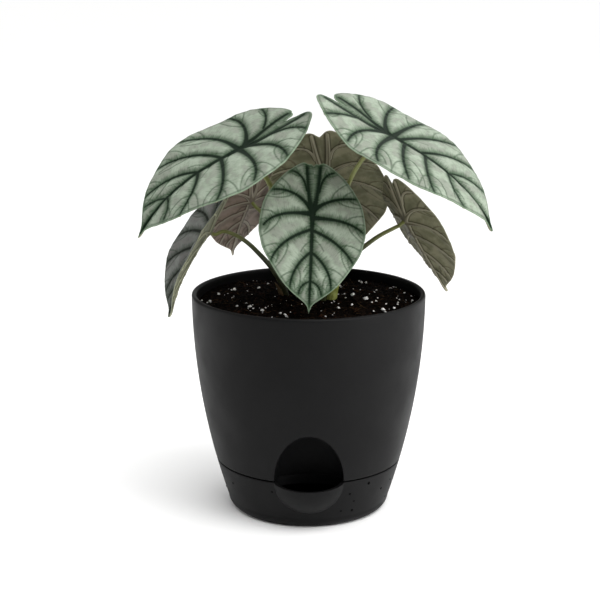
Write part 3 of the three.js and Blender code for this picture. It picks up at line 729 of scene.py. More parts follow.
def keep_strewn(ground, tree, material, inputs):
    """Runs a strewing tree and keeps the grains as one piece, hung on the root."""
    inputs["Material"] = material
    settle(ground, tree, inputs)
    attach(ground, "root")


for order, (name, shape, density, small, large, flatness, sunk, apart, look) in enumerate(STREWN):
    ground = bpy.data.objects.new(name, soil_piece.data)
    bpy.context.scene.collection.objects.link(ground)
    inputs = {"Per square metre": float(density), "Smallest": small * MM, "Largest": large * MM,
              "Flatness": flatness, "Sunk": sunk, "Reach": STREWN_REACH * MM, "Apart": apart * MM,
              "Seed": order + 2}
    tree = strewn_tree("strewn " + name, shape)
    keep_strewn(ground, tree, earthy_material(name.replace("_", " "), *look), inputs)
spots = bpy.data.meshes.new("large_perlite")
grains = [spot_on_soil(*spot) for spot in GRAIN_SPOTS] + HIDDEN_GRAINS
spots.from_pydata([(x * MM, y * MM, resting_height(x, y, size) * MM) for x, y, size in grains], [], [])
grain_sizes = spots.attributes.new("size", "FLOAT", "POINT")
grain_sizes.data.foreach_set("value", [GRAIN_SCALE * size * MM for _, _, size in grains])
large_perlite = bpy.data.objects.new("large_perlite", spots)
bpy.context.scene.collection.objects.link(large_perlite)
keep_strewn(large_perlite, strewn_tree("placed perlite", PERLITE, listed=True),
            earthy_material("large perlite", *WHITE), {"Flatness": 1.0, "Sunk": 0.0, "Seed": 9})

# Crown and roots
# The short stem from which the stalks grow sits just under the surface, and its roots run down in the mix.
# It is one grown piece that keeps the frame's shape, and only gets its rough brown bark here.
crown = bpy.data.objects["crown_and_roots"]
crown.data.materials.clear()
crown.data.materials.append(
    earthy_material("crown bark", (0.035, 0.030, 0.014, 1), (0.12, 0.10, 0.05, 1), 160, 0.7, 0.0005)
)

# Leaf stalks
# Seven fleshy green stalks rise from the crown, thick and dark at the foot, thin and yellow-green at the
# leaf. Each is a smooth tapered tube along its own path, and ends just under the hub where its blade hangs.
PLACE_STEP = 0.5
# Where each blade hangs: its hub in mm, then its heading, pitch and roll in degrees.
HUBS = {
    "upper_left": ((-56, -44, 342), 201, 23, 16),
    "upper_right": ((66.5, -44.5, 354), -18, 25.5, -11.5),
    "front": ((3, -48, 286), -92, 60, 11),
    "back_centre": ((16, 54.5, 300), 81, 49.5, 10.5),
    "back_left": ((-53.5, 45.5, 280), 113.5, 42, 13),
    "left": ((-90.5, -4.5, 260), 207, 53, -12),
    "right": ((90, 24.5, 265), 40.5, 54.5, -8),
}
# Points on the two low stalks listed from the photo: column, row and mm behind the pot's axis
LEFT_STALK_SPOTS = [
    (286.5, 297, 8), (281.8, 284.4, 7), (275, 272.4, 6), (267, 261.9, 5), (257.4, 252, 4),
    (248.1, 243.3, 3), (237, 235.6, 2), (224, 231.6, 0),
]
RIGHT_STALK_SPOTS = [(366.7, 244.3, 16.5), (379.6, 235.6, 19), (394.4, 228, 22)]
# Distances under the blade of a stalk's last two points, in mm
NECK_GAPS = (7, 1.3)


def whole_steps(place):
    """A place to the nearest half millimetre."""
    return tuple(np.round(np.array(place) / PLACE_STEP) * PLACE_STEP)


def spot_behind_axis(column, row, behind):
    """Where a line of sight is when it is this far behind the pot's axis."""
    lens, ahead = sight_line(column, row)
    return whole_steps(lens + ahead * (behind - lens[1]) / ahead[1])


def blade_directions(heading, pitch, roll):
    """Directions at a hub: along the blade, to its right, and up out of its upper side."""
    h, p, r = (math.radians(angle) for angle in (heading, pitch, roll))
    along = np.array([math.cos(h) * math.cos(p), math.sin(h) * math.cos(p), -math.sin(p)])
    level = np.array([math.sin(h), -math.cos(h), 0])
    above = np.cross(level, along)
    right = level * math.cos(r) + above * math.sin(r)
    up = above * math.cos(r) - level * math.sin(r)
    return along, right, up


def under_hub(name, gap):
    """A point under the middle of a blade's hub."""
    hub, *angles = HUBS[name]
    return whole_steps(np.array(hub) - gap * blade_directions(*angles)[2])


RIGHT_STALK_FOOT = [
    (17.5, 9, 178), (20.5, 9, 194.5), (21.5, 9.5, 202), (25, 10.5, 212.5), (31.5, 12, 223), (40.5, 14, 233),
]
left_points = [spot_behind_axis(*spot) for spot in LEFT_STALK_SPOTS]
right_points = [spot_behind_axis(*spot) for spot in RIGHT_STALK_SPOTS]
# Each stalk's own points in mm from its foot to below its neck, then its radius at the foot and at the neck.
STALKS = {
    "upper_left": ([(-6, 2, 178), (-8, 0, 196), (-21, -12, 262), (-34, -25, 305), (-47, -36, 326)], 4.2, 2.6),
    "upper_right": ([(11, 0, 178), (13, -2, 196), (24, -11, 252), (34, -24, 303), (47, -34, 330)], 3.9, 2.1),
    "front": ([(2, -7, 178), (2, -9, 196), (2, -14, 235), (3, -24, 262)], 3.9, 2.3),
    "back_centre": ([(5, 17, 178), (6, 19, 196), (10, 27, 240), (14, 39, 275)], 4.2, 2.6),
    "back_left": ([(-8, 15, 178), (-11, 18, 196), (-23, 26, 236), (-37, 35, 262)], 3.6, 2.1),
    "left": ([(-17, 8, 178)] + left_points, 3.8, 2.0),
    "right": (RIGHT_STALK_FOOT + right_points, 3.9, 2.1),
}
# How far the left stalk's neck is raised above the point under its hub, in mm
LEFT_NECK_LIFT = 1
NECK_SLIMNESS = 0.82
# The share of its length from which a stalk turns pale: the two tall ones do so from near their foot.
TALL_PALE_FROM = 0.1
PALE_FROM = 0.5


def stalk_path(name):
    """A stalk's own points and the last two, which lead up to the hub."""
    own = STALKS[name][0]
    necks = [under_hub(name, gap) for gap in NECK_GAPS]
    if name == "left":
        x, y, z = necks[0]
        necks[0] = (x, y, z + LEFT_NECK_LIFT)
    return own + necks


def stalk_tree():
    """Thickens a path into a stalk that tapers from its foot to its neck."""
    tree = bpy.data.node_groups.new("stalk", "GeometryNodeTree")
    tree.interface.new_socket("Path", in_out="INPUT", socket_type="NodeSocketGeometry")
    for label in ("Foot radius", "Neck radius", "Pale from"):
        tree.interface.new_socket(label, in_out="INPUT", socket_type="NodeSocketFloat")
    tree.interface.new_socket("Material", in_out="INPUT", socket_type="NodeSocketMaterial")
    tree.interface.new_socket("Stalk", in_out="OUTPUT", socket_type="NodeSocketGeometry")
    start = tree.nodes.new("NodeGroupInput").outputs
    end = tree.nodes.new("NodeGroupOutput")
    path = {"Curve": start["Path"]}
    smooth = add_node(tree, "GeometryNodeCurveSplineType", path, spline_type="CATMULL_ROM")
    fine = add_node(tree, "GeometryNodeSetSplineResolution", {0: smooth.outputs[0], "Resolution": 24})
    even = add_node(tree, "GeometryNodeResampleCurve", {"Curve": fine.outputs[0], "Count": 90})
    share = tree.nodes.new("GeometryNodeSplineParameter").outputs["Factor"]
    fall = calc(tree, "POWER", share, 0.5)
    growth = calc(tree, "SUBTRACT", start["Neck radius"], start["Foot radius"])
    radius = calc(tree, "MULTIPLY_ADD", growth, fall, start["Foot radius"])
    pale = calc(tree, "SUBTRACT", share, start["Pale from"])
    kept = add_node(tree, "GeometryNodeStoreNamedAttribute", {
        "Geometry": even.outputs[0], "Name": "pale", "Value": pale}, data_type="FLOAT")
    sized = add_node(tree, "GeometryNodeSetCurveRadius", {"Curve": kept.outputs[0], "Radius": radius})
    section = add_node(tree, "GeometryNodeCurvePrimitiveCircle", {"Resolution": 22, "Radius": 1.0})
    solid = add_node(tree, "GeometryNodeCurveToMesh", {
        "Curve": sized.outputs[0], "Profile Curve": section.outputs[0], "Fill Caps": True})
    if "Scale" in solid.inputs:
        tree.links.new(radius, solid.inputs["Scale"])
    soft = add_node(tree, "GeometryNodeSetShadeSmooth", {"Geometry": solid.outputs[0], "Shade Smooth": True})
    painted = add_node(tree, "GeometryNodeSetMaterial", {
        "Geometry": soft.outputs[0], "Material": start["Material"]})
    tree.links.new(painted.outputs[0], end.inputs[0])
    return tree


STALK_TREE = stalk_tree()


def stalk_material():
    """Green that pales up the stalk, with fine streaks along it and darker mottling."""
    material, tree, surface = new_material("leaf stalk")
    pale = add_node(tree, "ShaderNodeAttribute", attribute_name="pale").outputs["Fac"]
    place = tree.nodes.new("ShaderNodeTexCoord").outputs["Object"]
    stretch = add_node(tree, "ShaderNodeMapping", {"Vector": place, "Scale": (1, 1, 0.18)}).outputs[0]
    streak = noise(tree, stretch, 900, 3, 0.6)
    mottle = noise(tree, place, 240, 3, 0.6)
    green = mix_colour(tree, ramp(tree, pale, 0.0, 0.45), (0.042, 0.052, 0.018, 1), (0.155, 0.17, 0.04, 1))
    colour = mix_colour(tree, ramp(tree, streak, 0.5, 0.75, 0.0, 0.35), green, (0.055, 0.060, 0.018, 1))
    colour = mix_colour(tree, ramp(tree, mottle, 0.55, 0.8, 0.0, 0.4), colour, (0.030, 0.026, 0.010, 1))
    tree.links.new(colour, surface.inputs["Base Color"])
    surface.inputs["Roughness"].default_value = 0.42
    bump = add_node(tree, "ShaderNodeBump", {"Height": streak, "Strength": 0.3, "Distance": 0.0002})
    tree.links.new(bump.outputs[0], surface.inputs["Normal"])
    return material


STALK_MATERIAL = stalk_material()

for name, (_, foot_radius, neck_radius) in STALKS.items():
    path = stalk_path(name)
    curve = bpy.data.curves.new("stalk_" + name, "CURVE")
    curve.dimensions = "3D"
    spline = curve.splines.new("POLY")
    spline.points.add(len(path) - 1)
    for point, (x, y, z) in zip(spline.points, path):
        point.co = (x * MM, y * MM, z * MM, 1)
    line = bpy.data.objects.new("stalk_" + name, curve)
    bpy.context.scene.collection.objects.link(line)
    pale_from = TALL_PALE_FROM if name.startswith("upper") else PALE_FROM
    inputs = {"Foot radius": foot_radius * MM, "Neck radius": neck_radius * MM * NECK_SLIMNESS,
              "Pale from": pale_from, "Material": STALK_MATERIAL}
    stand_for(settle(line, STALK_TREE, inputs), "petiole_" + name)

# Sheaths
# Old leaf sheaths wrap the feet of two stalks: a fresh yellow-green one at the right, and a dried one at
# the left. They are thin, papery pieces that keep the frame's shape and get their colours here.
for name, low, high in (
    ("sheath_right", (0.22, 0.25, 0.06, 1), (0.40, 0.44, 0.14, 1)),
    ("sheath_left", (0.10, 0.065, 0.035, 1), (0.24, 0.17, 0.10, 1)),
):
    sheath = bpy.data.objects[name]
    sheath.data.materials.clear()
    sheath.data.materials.append(earthy_material(name.replace("_", " "), low, high, 150, 0.6, 0.0002))

# Leaf blades
# Seven stiff, quilted blades. Dark main veins lie sunk in the silver upper side and stand out as ribs
# underneath. Each hangs from its stalk at the hub, where the midrib and the ribs of the back lobes meet.
BLADE_THICKNESS = 1.0
# Relief in mm: the puffed fields between veins, the grooves of fine veins, and the ribs of the underside.
PUFF_HEIGHT = 2.2
PUFF_REACH = 4.2
PUFF_RIM_FADE = 7
GROOVE_DEPTH = 0.4
GROOVE_REACH = 1.1
GROOVE_RIM_FADE = 5
UNDER_GROOVE_SHARE = 0.6
SWELL_HEIGHT = 0.07
SWELL_WAVES = 7
EDGE_WAVE_HEIGHT = 0.9
EDGE_WAVE_PITCH = 11
RIB_HEIGHT = 1.1
FINE_RIB_HEIGHT = 0.25
HUB_RIB_HEIGHT = 1.6
HUB_RIB_REACH = 6
EDGE_ROUNDING = 1.2
EDGE_COLUMN_WIDTH = 0.35
DROOP_POWER = 1.7
LIFT_REACH = 0.12
BEND_STEPS = 24
# Half of a blade's outline from the back lobe round to the tip, as the veins are given below.
HALF_OUTLINE = [
    (0.1, -0.465), (0.2, -0.475), (0.36, -0.43), (0.58, -0.335), (0.79, -0.2), (0.93, -0.06),
    (1, 0.18), (0.965, 0.31), (0.88, 0.44), (0.58, 0.675), (0.39, 0.78), (0.2, 0.857),
    (0.095, 0.898), (0.042, 0.932), (0.02, 0.965), (0, 1),
]
# A side vein: where it leaves the midrib, the point it bends towards, and where it ends near the margin.
# Across is in half widths and along is in lengths from the hub; the last two run into the back lobe.
USUAL_VEINS = [
    ((0, 0.04), (0.66, 0.03), (0.93, 0.18)),
    ((0, 0.195), (0.58, 0.29), (0.80, 0.50)),
    ((0, 0.40), (0.36, 0.54), (0.40, 0.76)),
    ((0, 0.66), (0.20, 0.71), (0.21, 0.82)),
    ((0.02, -0.01), (0.34, -0.20), (0.84, -0.15)),
    ((0.12, -0.20), (0.18, -0.36), (0.50, -0.345)),
]
# Half widths in mm of the side veins in that order, on a blade of the usual length.
VEIN_WIDTHS = (1.5, 1.35, 1.1, 0.5, 1.3, 0.8)
USUAL_LENGTH = 125
SMALL_VEINS = (3, 5)
# Fine veins that branch off a side vein: share along it, side, and how far each reaches.
BRANCHES = ((0.56, 1, 0.9), (0.66, -1, 0.85), (0.82, 1, 0.45), (0.86, -1, 0.4))
# Shares along the midrib at which fine veins leave it
MIDRIB_BRANCHES = (0.12, 0.29, 0.5, 0.6, 0.76)


def smooth_path(points, per_span=12):
    """Points along a smooth line through the given ones."""
    line = np.array(points, float)
    padded = np.vstack([2 * line[0] - line[1], line, 2 * line[-1] - line[-2]])
    made = []
    for i in range(1, len(padded) - 2):
        a, b, c, d = padded[i - 1:i + 3]
        for f in np.arange(per_span) / per_span:
            made.append(0.5 * (2 * b + (c - a) * f + (2 * a - 5 * b + 4 * c - d) * f**2
                               + (3 * b - a - 3 * c + d) * f**3))
    made.append(line[-1])
    return np.array(made)


def even_path(line, count):
    """As many points as asked, evenly spaced along a line."""
    steps = np.hypot(*np.diff(line, axis=0).T)
    run = np.concatenate([[0], np.cumsum(steps)])
    at = np.linspace(0, run[-1], count)
    return np.column_stack([np.interp(at, run, line[:, 0]), np.interp(at, run, line[:, 1])])


def bent_line(start, control, end, count=16):
    """Points on a curve that leaves its start towards the control point and bends to its end."""
    f = np.linspace(0, 1, count)[:, None]
    start, control, end = (np.array(point, float) for point in (start, control, end))
    return start * (1 - f) ** 2 + 2 * control * f * (1 - f) + end * f * f


def vein_lines(veins_right, veins_left, length, half_width, notch, chance):
    """Main and fine veins of one blade, in mm: each is a line and its half width at the start and the end."""
    scale = np.array([half_width, length])
    size = length / USUAL_LENGTH
    main = [(bent_line((0, 0), (0.015, 0.5), (0, 0.99), 40) * scale, 2.1 * size, 0.35)]
    fine = []
    for side, veins in ((1, veins_right), (-1, veins_left)):
        flip = scale * (side, 1)
        lobe_rib = bent_line((0.03, -0.01), (0.11, -0.2), (0.13, min(-0.43, notch - 0.03)))
        main.append((lobe_rib * flip, 1.4 * size, 0.8))
        for order, (start, control, end) in enumerate(veins):
            small = order in SMALL_VEINS
            width = VEIN_WIDTHS[order] * size
            path = bent_line(start, control, end) * flip
            main.append((path, width, 0.3))
            heading = np.diff(path, axis=0)
            heading /= np.hypot(*heading.T)[:, None]
            outline_room = 0.26 if order < 3 or order == 4 else 0.14
            for share, turn_side, reach in BRANCHES:
                if small and share > 0.7:
                    continue
                at = min(13, max(1, int(round((share + chance.uniform(-0.05, 0.05)) * 14))))
                ahead = heading[at]
                across = np.array([-ahead[1], ahead[0]]) * turn_side
                step = outline_room * reach * length * chance.uniform(0.8, 1.1) * (0.6 if small else 1)
                first = path[at]
                second = first + (ahead * 0.25 + across * 0.6) * step * 0.8
                third = first + (ahead * 1.15 + across * 0.62) * step
                fine.append((bent_line(first, second, third, 9), 0.38 * size, 0.08))
        for at in MIDRIB_BRANCHES:
            wander = chance.uniform(-0.02, 0.02)
            reach = 0.3 * (1 - at)
            start = np.array((0, at + wander))
            branch = bent_line(start, start + (0.6 * reach, 0.02), start + (reach, 0.13 * (1 - at) + 0.02), 7)
            fine.append((branch * flip, 0.25 * size, 0.08))
    return main, fine


def vein_distance(points, lines):
    """Distance in mm from each point to the nearest vein's edge, and how far along that vein it is."""
    firsts, seconds, widths, runs = [], [], [], []
    for number, (line, start_width, end_width) in enumerate(lines):
        steps = np.hypot(*np.diff(line, axis=0).T)
        run = np.concatenate([[0], np.cumsum(steps)])
        share = run / run[-1]
        width = end_width + (start_width - end_width) * (1 - share) ** 0.7
        firsts.append(line[:-1])
        seconds.append(line[1:])
        widths.append(np.column_stack([width[:-1], width[1:]]))
        runs.append(np.column_stack([run[:-1], run[1:]]) + 37.0 * number)
    first, second = np.vstack(firsts), np.vstack(seconds)
    width, run = np.vstack(widths), np.vstack(runs)
    span = second - first
    squared = (span**2).sum(1)
    nearest = np.full(len(points), 1e9)
    along = np.zeros(len(points))
    for k in range(len(first)):
        away = points - first[k]
        f = np.clip((away @ span[k]) / squared[k], 0, 1)
        gap = np.hypot(away[:, 0] - f * span[k, 0], away[:, 1] - f * span[k, 1])
        gap -= width[k, 0] + f * (width[k, 1] - width[k, 0])
        closer = gap < nearest
        nearest[closer] = gap[closer]
        along[closer] = (run[k, 0] + f * (run[k, 1] - run[k, 0]))[closer]
    return nearest, along


def shape_lobes(points, length, half_width, lobes):
    """Makes the back lobes of the right and the left half longer and wider by their own shares."""
    across, along = points[:, 0], points[:, 1]
    behind = np.clip(-along / (0.35 * length), 0, 1)
    far = np.clip((-along / length - 0.12) / 0.35, 0, 1) ** 1.5
    beside = np.clip(np.abs(across) / (0.1 * half_width), 0, 1)
    longer, wider = (np.where(across > 0, right, left) for right, left in zip(*lobes))
    return np.column_stack([across * (1 + wider * behind), along - longer * length * far * beside])


def flat_blade(name, length, half_width, notch, lobes, veins_right, veins_left, rows, columns, seed):
    """The blade before it is bent: a closed quilted sheet in metres, across on X, along on Y, relief on Z."""
    chance = np.random.default_rng(seed)
    lobe_inner = min(-0.42, notch - 0.015)
    outline = smooth_path([(0, notch), (0.035, lobe_inner)] + HALF_OUTLINE)
    outline = even_path(outline * (half_width, length), rows + 1)
    rib = np.column_stack([np.zeros(rows + 1), np.linspace(notch, 1, rows + 1) * length])
    shares = 1 - (1 - np.linspace(0, 1, columns + 1)) ** 1.12
    shares = np.insert(shares, -1, 1 - EDGE_COLUMN_WIDTH / half_width)
    half = rib[:, None] + (outline - rib)[:, None] * shares[None, :, None]
    flat = np.concatenate([half[:, :0:-1] * (-1, 1), half], axis=1)
    width_count = flat.shape[1]
    points = flat.reshape(-1, 2)
    main, fine = vein_lines(veins_right, veins_left, length, half_width, notch, chance)
    main_gap, run = vein_distance(points, main)
    fine_gap, _ = vein_distance(points, fine)
    mirrored = np.abs(points[:, 0])[:, None] * (1, 0) + points * (0, 1)
    rim_gap, _ = vein_distance(mirrored, [(outline, 0, 0)])
    rim_gap = np.maximum(rim_gap, 0)
    rim_gap.reshape(rows + 1, -1)[:, (0, -1)] = 0
    out = np.maximum(main_gap, 0)
    puff = PUFF_HEIGHT * (1 - np.exp(-(out / PUFF_REACH) ** 1.25)) * (1 - np.exp(-rim_gap / PUFF_RIM_FADE))
    groove = GROOVE_DEPTH * np.exp(-(np.maximum(fine_gap, 0) / GROOVE_REACH) ** 2)
    groove = groove * (1 - np.exp(-rim_gap / GROOVE_RIM_FADE))
    swell = 0
    for _ in range(SWELL_WAVES):
        turn = chance.uniform(0, 2 * math.pi)
        pitch = chance.uniform(0.35, 0.9)
        swell = swell + np.sin((points[:, 0] * math.cos(turn) + points[:, 1] * math.sin(turn)) * pitch
                               + chance.uniform(0, 6.3))
    puff += SWELL_HEIGHT * swell * (1 - np.exp(-out / 3))
    edge_share = np.hypot(points[:, 0] / half_width, (points[:, 1] / length - 0.2) / 0.7)
    edge_wave = np.sin(points[:, 1] / length * EDGE_WAVE_PITCH + np.sign(points[:, 0]) + seed)
    puff += EDGE_WAVE_HEIGHT * edge_wave * np.minimum(edge_share, 1) ** 4
    taper = np.sqrt(1 - (1 - np.minimum(rim_gap / EDGE_ROUNDING, 1)) ** 2)
    top = puff - groove + BLADE_THICKNESS / 2 * taper
    rib_height = RIB_HEIGHT * np.exp(-(np.maximum(main_gap + 0.6, 0) / 1.0) ** 2) * taper
    rib_height += FINE_RIB_HEIGHT * np.exp(-(np.maximum(fine_gap + 0.2, 0) / 0.6) ** 2) * taper
    hub_gap = np.hypot(points[:, 0], points[:, 1])
    rib_height += HUB_RIB_HEIGHT * np.exp(-(hub_gap / HUB_RIB_REACH) ** 2)
    bottom = puff - groove * UNDER_GROOVE_SHARE - BLADE_THICKNESS / 2 * taper - rib_height
    wedge = (points[:, 1] < 0) & (np.abs(points[:, 0]) < (0.03 - 0.235 * points[:, 1] / length) * half_width)
    hub_star = 1.3 * np.exp(-(hub_gap / (0.09 * length)) ** 2)
    main_gap = np.where(wedge, main_gap * 0.5, main_gap) - hub_star
    points = shape_lobes(points, length, half_width, lobes)
    count = len(points)
    index = np.arange(count).reshape(rows + 1, width_count)
    index[0] = index[0, 0]
    index[-1] = index[-1, 0]
    lower = index + count
    lower[0] = index[0]
    lower[-1] = index[-1]
    lower[:, (0, -1)] = index[:, (0, -1)]
    faces = []
    for grid, order in ((index, (0, 1, 2, 3)), (lower, (3, 2, 1, 0))):
        corners = np.stack([grid[:-1, :-1], grid[:-1, 1:], grid[1:, 1:], grid[1:, :-1]], -1).reshape(-1, 4)
        faces += [tuple(dict.fromkeys(row)) for row in corners[:, order].tolist()]
    upper_faces = len(faces) // 2
    keep = [k for k, face in enumerate(faces) if len(face) > 2]
    places = np.vstack([np.column_stack([points, top]), np.column_stack([points, bottom])]) * MM
    used = np.unique(np.concatenate([index.ravel(), lower.ravel()]))
    renumber = np.zeros(2 * count, int)
    renumber[used] = np.arange(len(used))
    mesh = bpy.data.meshes.new(name)
    mesh.from_pydata(places[used].tolist(), [], [tuple(renumber[list(faces[k])].tolist()) for k in keep])
    mesh.polygons.foreach_set("material_index", [0 if k < upper_faces else 1 for k in keep])
    mesh.polygons.foreach_set("use_smooth", [True] * len(keep))
    for label, values in (("main_gap", main_gap), ("fine_gap", fine_gap), ("rim_gap", rim_gap), ("run", run)):
        layer = mesh.attributes.new(label, "FLOAT", "POINT")
        layer.data.foreach_set("value", np.concatenate([values, values])[used].astype(np.float32))
    corners = np.empty(len(mesh.loops), int)
    mesh.loops.foreach_get("vertex_index", corners)
    chart = mesh.uv_layers.new(name="flat")
    spread = np.concatenate([points, points])[used][corners] / 200 + 0.5
    chart.data.foreach_set("uv", spread.ravel())
    return mesh


def blade_bending():
    """The tree that gives a flat blade its droop, folded and cupped section, twist and place on the stalk."""
    tree = bpy.data.node_groups.new("blade bending", "GeometryNodeTree")
    tree.interface.new_socket("Blade", in_out="INPUT", socket_type="NodeSocketGeometry")
    for name in ("Length", "Half width", "Droop", "Lobe droop", "Lift", "Fold", "Cup", "Twist", "Sweep"):
        tree.interface.new_socket(name, in_out="INPUT", socket_type="NodeSocketFloat")
    for name in ("Hub", "Along", "Right", "Up"):
        tree.interface.new_socket(name, in_out="INPUT", socket_type="NodeSocketVector")
    tree.interface.new_socket("Blade", in_out="OUTPUT", socket_type="NodeSocketGeometry")
    start = tree.nodes.new("NodeGroupInput").outputs
    end = tree.nodes.new("NodeGroupOutput")
    position = tree.nodes.new("GeometryNodeInputPosition").outputs[0]
    across, along, relief = add_node(tree, "ShaderNodeSeparateXYZ", {0: position}).outputs
    share = calc(tree, "DIVIDE", along, start["Length"])

    def bend_at(place_on_rib):
        ahead = calc(tree, "MAXIMUM", place_on_rib, 0.0)
        behind = calc(tree, "MAXIMUM", calc(tree, "MULTIPLY", place_on_rib, -1.0), 0.0)
        droop = calc(tree, "MULTIPLY", start["Droop"], calc(tree, "POWER", ahead, DROOP_POWER))
        kink = calc(tree, "MINIMUM", calc(tree, "DIVIDE", behind, LIFT_REACH), 1.0)
        lifted = calc(tree, "MULTIPLY_ADD", start["Lift"], kink, droop)
        lobe = calc(tree, "MULTIPLY", start["Lobe droop"], behind)
        return calc(tree, "SUBTRACT", lifted, lobe)

    steps = BEND_STEPS
    loop_in = tree.nodes.new("GeometryNodeRepeatInput")
    loop_out = tree.nodes.new("GeometryNodeRepeatOutput")
    loop_in.pair_with_output(loop_out)
    loop_out.repeat_items.clear()
    for name in ("Forward", "Down"):
        loop_out.repeat_items.new("FLOAT", name)
    loop_in.inputs["Iterations"].default_value = steps
    step = calc(tree, "MULTIPLY_ADD", loop_in.outputs["Iteration"], 1 / steps, 0.5 / steps)
    turn = bend_at(calc(tree, "MULTIPLY", share, step))
    for name, operation in (("Forward", "COSINE"), ("Down", "SINE")):
        total = calc(tree, "ADD", loop_in.outputs[name], calc(tree, operation, turn))
        tree.links.new(total, loop_out.inputs[name])
    span = calc(tree, "DIVIDE", along, float(steps))
    forward = calc(tree, "MULTIPLY", loop_out.outputs["Forward"], span)
    down = calc(tree, "MULTIPLY", loop_out.outputs["Down"], span)

    side = calc(tree, "SIGN", across)
    curl = calc(tree, "DIVIDE", start["Cup"], start["Half width"])
    edge = calc(tree, "SUBTRACT", start["Fold"], calc(tree, "MULTIPLY", calc(tree, "ABSOLUTE", across), curl))
    sine_edge = calc(tree, "SINE", edge)
    cosine_edge = calc(tree, "COSINE", edge)
    sine_fold = calc(tree, "SINE", start["Fold"])
    cosine_fold = calc(tree, "COSINE", start["Fold"])
    sideways = calc(tree, "DIVIDE", calc(tree, "SUBTRACT", sine_fold, sine_edge), curl)
    height = calc(tree, "DIVIDE", calc(tree, "SUBTRACT", cosine_edge, cosine_fold), curl)
    sideways = calc(tree, "SUBTRACT", sideways, calc(tree, "MULTIPLY", sine_edge, relief))
    height = calc(tree, "MULTIPLY_ADD", cosine_edge, relief, height)
    half_share = calc(tree, "MULTIPLY", share, 0.5)
    sweep = calc(tree, "MULTIPLY", calc(tree, "MULTIPLY", start["Sweep"], along), half_share)
    sideways = calc(tree, "MULTIPLY_ADD", side, sideways, sweep)
    twist = calc(tree, "MULTIPLY", start["Twist"], share)
    sine_twist, cosine_twist = calc(tree, "SINE", twist), calc(tree, "COSINE", twist)
    rightward = calc(tree, "SUBTRACT", calc(tree, "MULTIPLY", sideways, cosine_twist),
                     calc(tree, "MULTIPLY", height, sine_twist))
    upward = calc(tree, "ADD", calc(tree, "MULTIPLY", sideways, sine_twist),
                  calc(tree, "MULTIPLY", height, cosine_twist))
    bend = bend_at(share)
    forward = calc(tree, "MULTIPLY_ADD", upward, calc(tree, "SINE", bend), forward)
    upward = calc(tree, "SUBTRACT", calc(tree, "MULTIPLY", upward, calc(tree, "COSINE", bend)), down)
    spot = start["Hub"]
    for direction, amount in (("Along", forward), ("Right", rightward), ("Up", upward)):
        sockets = {0: start[direction], "Scale": amount}
        moved = add_node(tree, "ShaderNodeVectorMath", sockets, operation="SCALE").outputs[0]
        spot = add_node(tree, "ShaderNodeVectorMath", {0: spot, 1: moved}, operation="ADD").outputs[0]
    moved = add_node(tree, "GeometryNodeSetPosition", {"Geometry": start["Blade"], "Position": spot})
    tree.links.new(moved.outputs[0], end.inputs[0])
    return tree


BLADE_BENDING = blade_bending()


def leaf_finish_group():
    """What both sides of a blade need: feathery dark veins, fine cross streaks and the dark rim line."""
    group = bpy.data.node_groups.new("leaf veins", "ShaderNodeTree")
    for name in ("Halo reach", "Core reach"):
        group.interface.new_socket(name, in_out="INPUT", socket_type="NodeSocketFloat")
    for name in ("Halo", "Core", "Fine", "Rim line", "Border", "Streak", "Cloud", "Grain"):
        group.interface.new_socket(name, in_out="OUTPUT", socket_type="NodeSocketFloat")
    start = group.nodes.new("NodeGroupInput").outputs
    end = group.nodes.new("NodeGroupOutput").inputs
    read = {}
    for name in ("main_gap", "fine_gap", "rim_gap", "run"):
        read[name] = add_node(group, "ShaderNodeAttribute", attribute_name=name).outputs["Fac"]
    flat = add_node(group, "ShaderNodeUVMap", uv_map="flat").outputs[0]
    lanes = []
    for along_vein, off_vein in ((0.9, 0.16), (0.28, 0.10)):
        lane = {0: calc(group, "MULTIPLY", read["run"], along_vein),
                1: calc(group, "MULTIPLY", read["main_gap"], off_vein)}
        lanes.append(add_node(group, "ShaderNodeCombineXYZ", lane).outputs[0])
    hairs = noise(group, lanes[0], 1.0, 3, 0.65)
    drift = noise(group, lanes[1], 1.0, 2, 0.5)
    cloud = noise(group, flat, 16, 3, 0.5)
    grain = noise(group, flat, 190, 3, 0.6)
    frayed = calc(group, "MULTIPLY_ADD", calc(group, "SUBTRACT", hairs, 0.5), 4.2, read["main_gap"])
    frayed = calc(group, "MULTIPLY_ADD", calc(group, "SUBTRACT", drift, 0.5), 2.4, frayed)
    halo = ramp(group, frayed, start["Halo reach"], -0.4)
    ragged = calc(group, "MULTIPLY_ADD", calc(group, "SUBTRACT", hairs, 0.5), 1.9, read["main_gap"])
    core = ramp(group, ragged, start["Core reach"], -0.3)
    fine_edge = calc(group, "MULTIPLY_ADD", calc(group, "SUBTRACT", hairs, 0.5), 1.0, read["fine_gap"])
    fine = ramp(group, fine_edge, 1.1, -0.1)
    rim_starts = ramp(group, read["rim_gap"], 0.6, 1.3)
    rim_line = calc(group, "SUBTRACT", rim_starts, ramp(group, read["rim_gap"], 1.6, 3.4))
    border = ramp(group, read["rim_gap"], 1.2, 0.6)
    made = {"Halo": halo, "Core": core, "Fine": fine, "Rim line": rim_line, "Border": border,
            "Streak": hairs, "Cloud": cloud, "Grain": grain}
    for name, value in made.items():
        group.links.new(value, end[name])
    return group


LEAF_VEINS = leaf_finish_group()


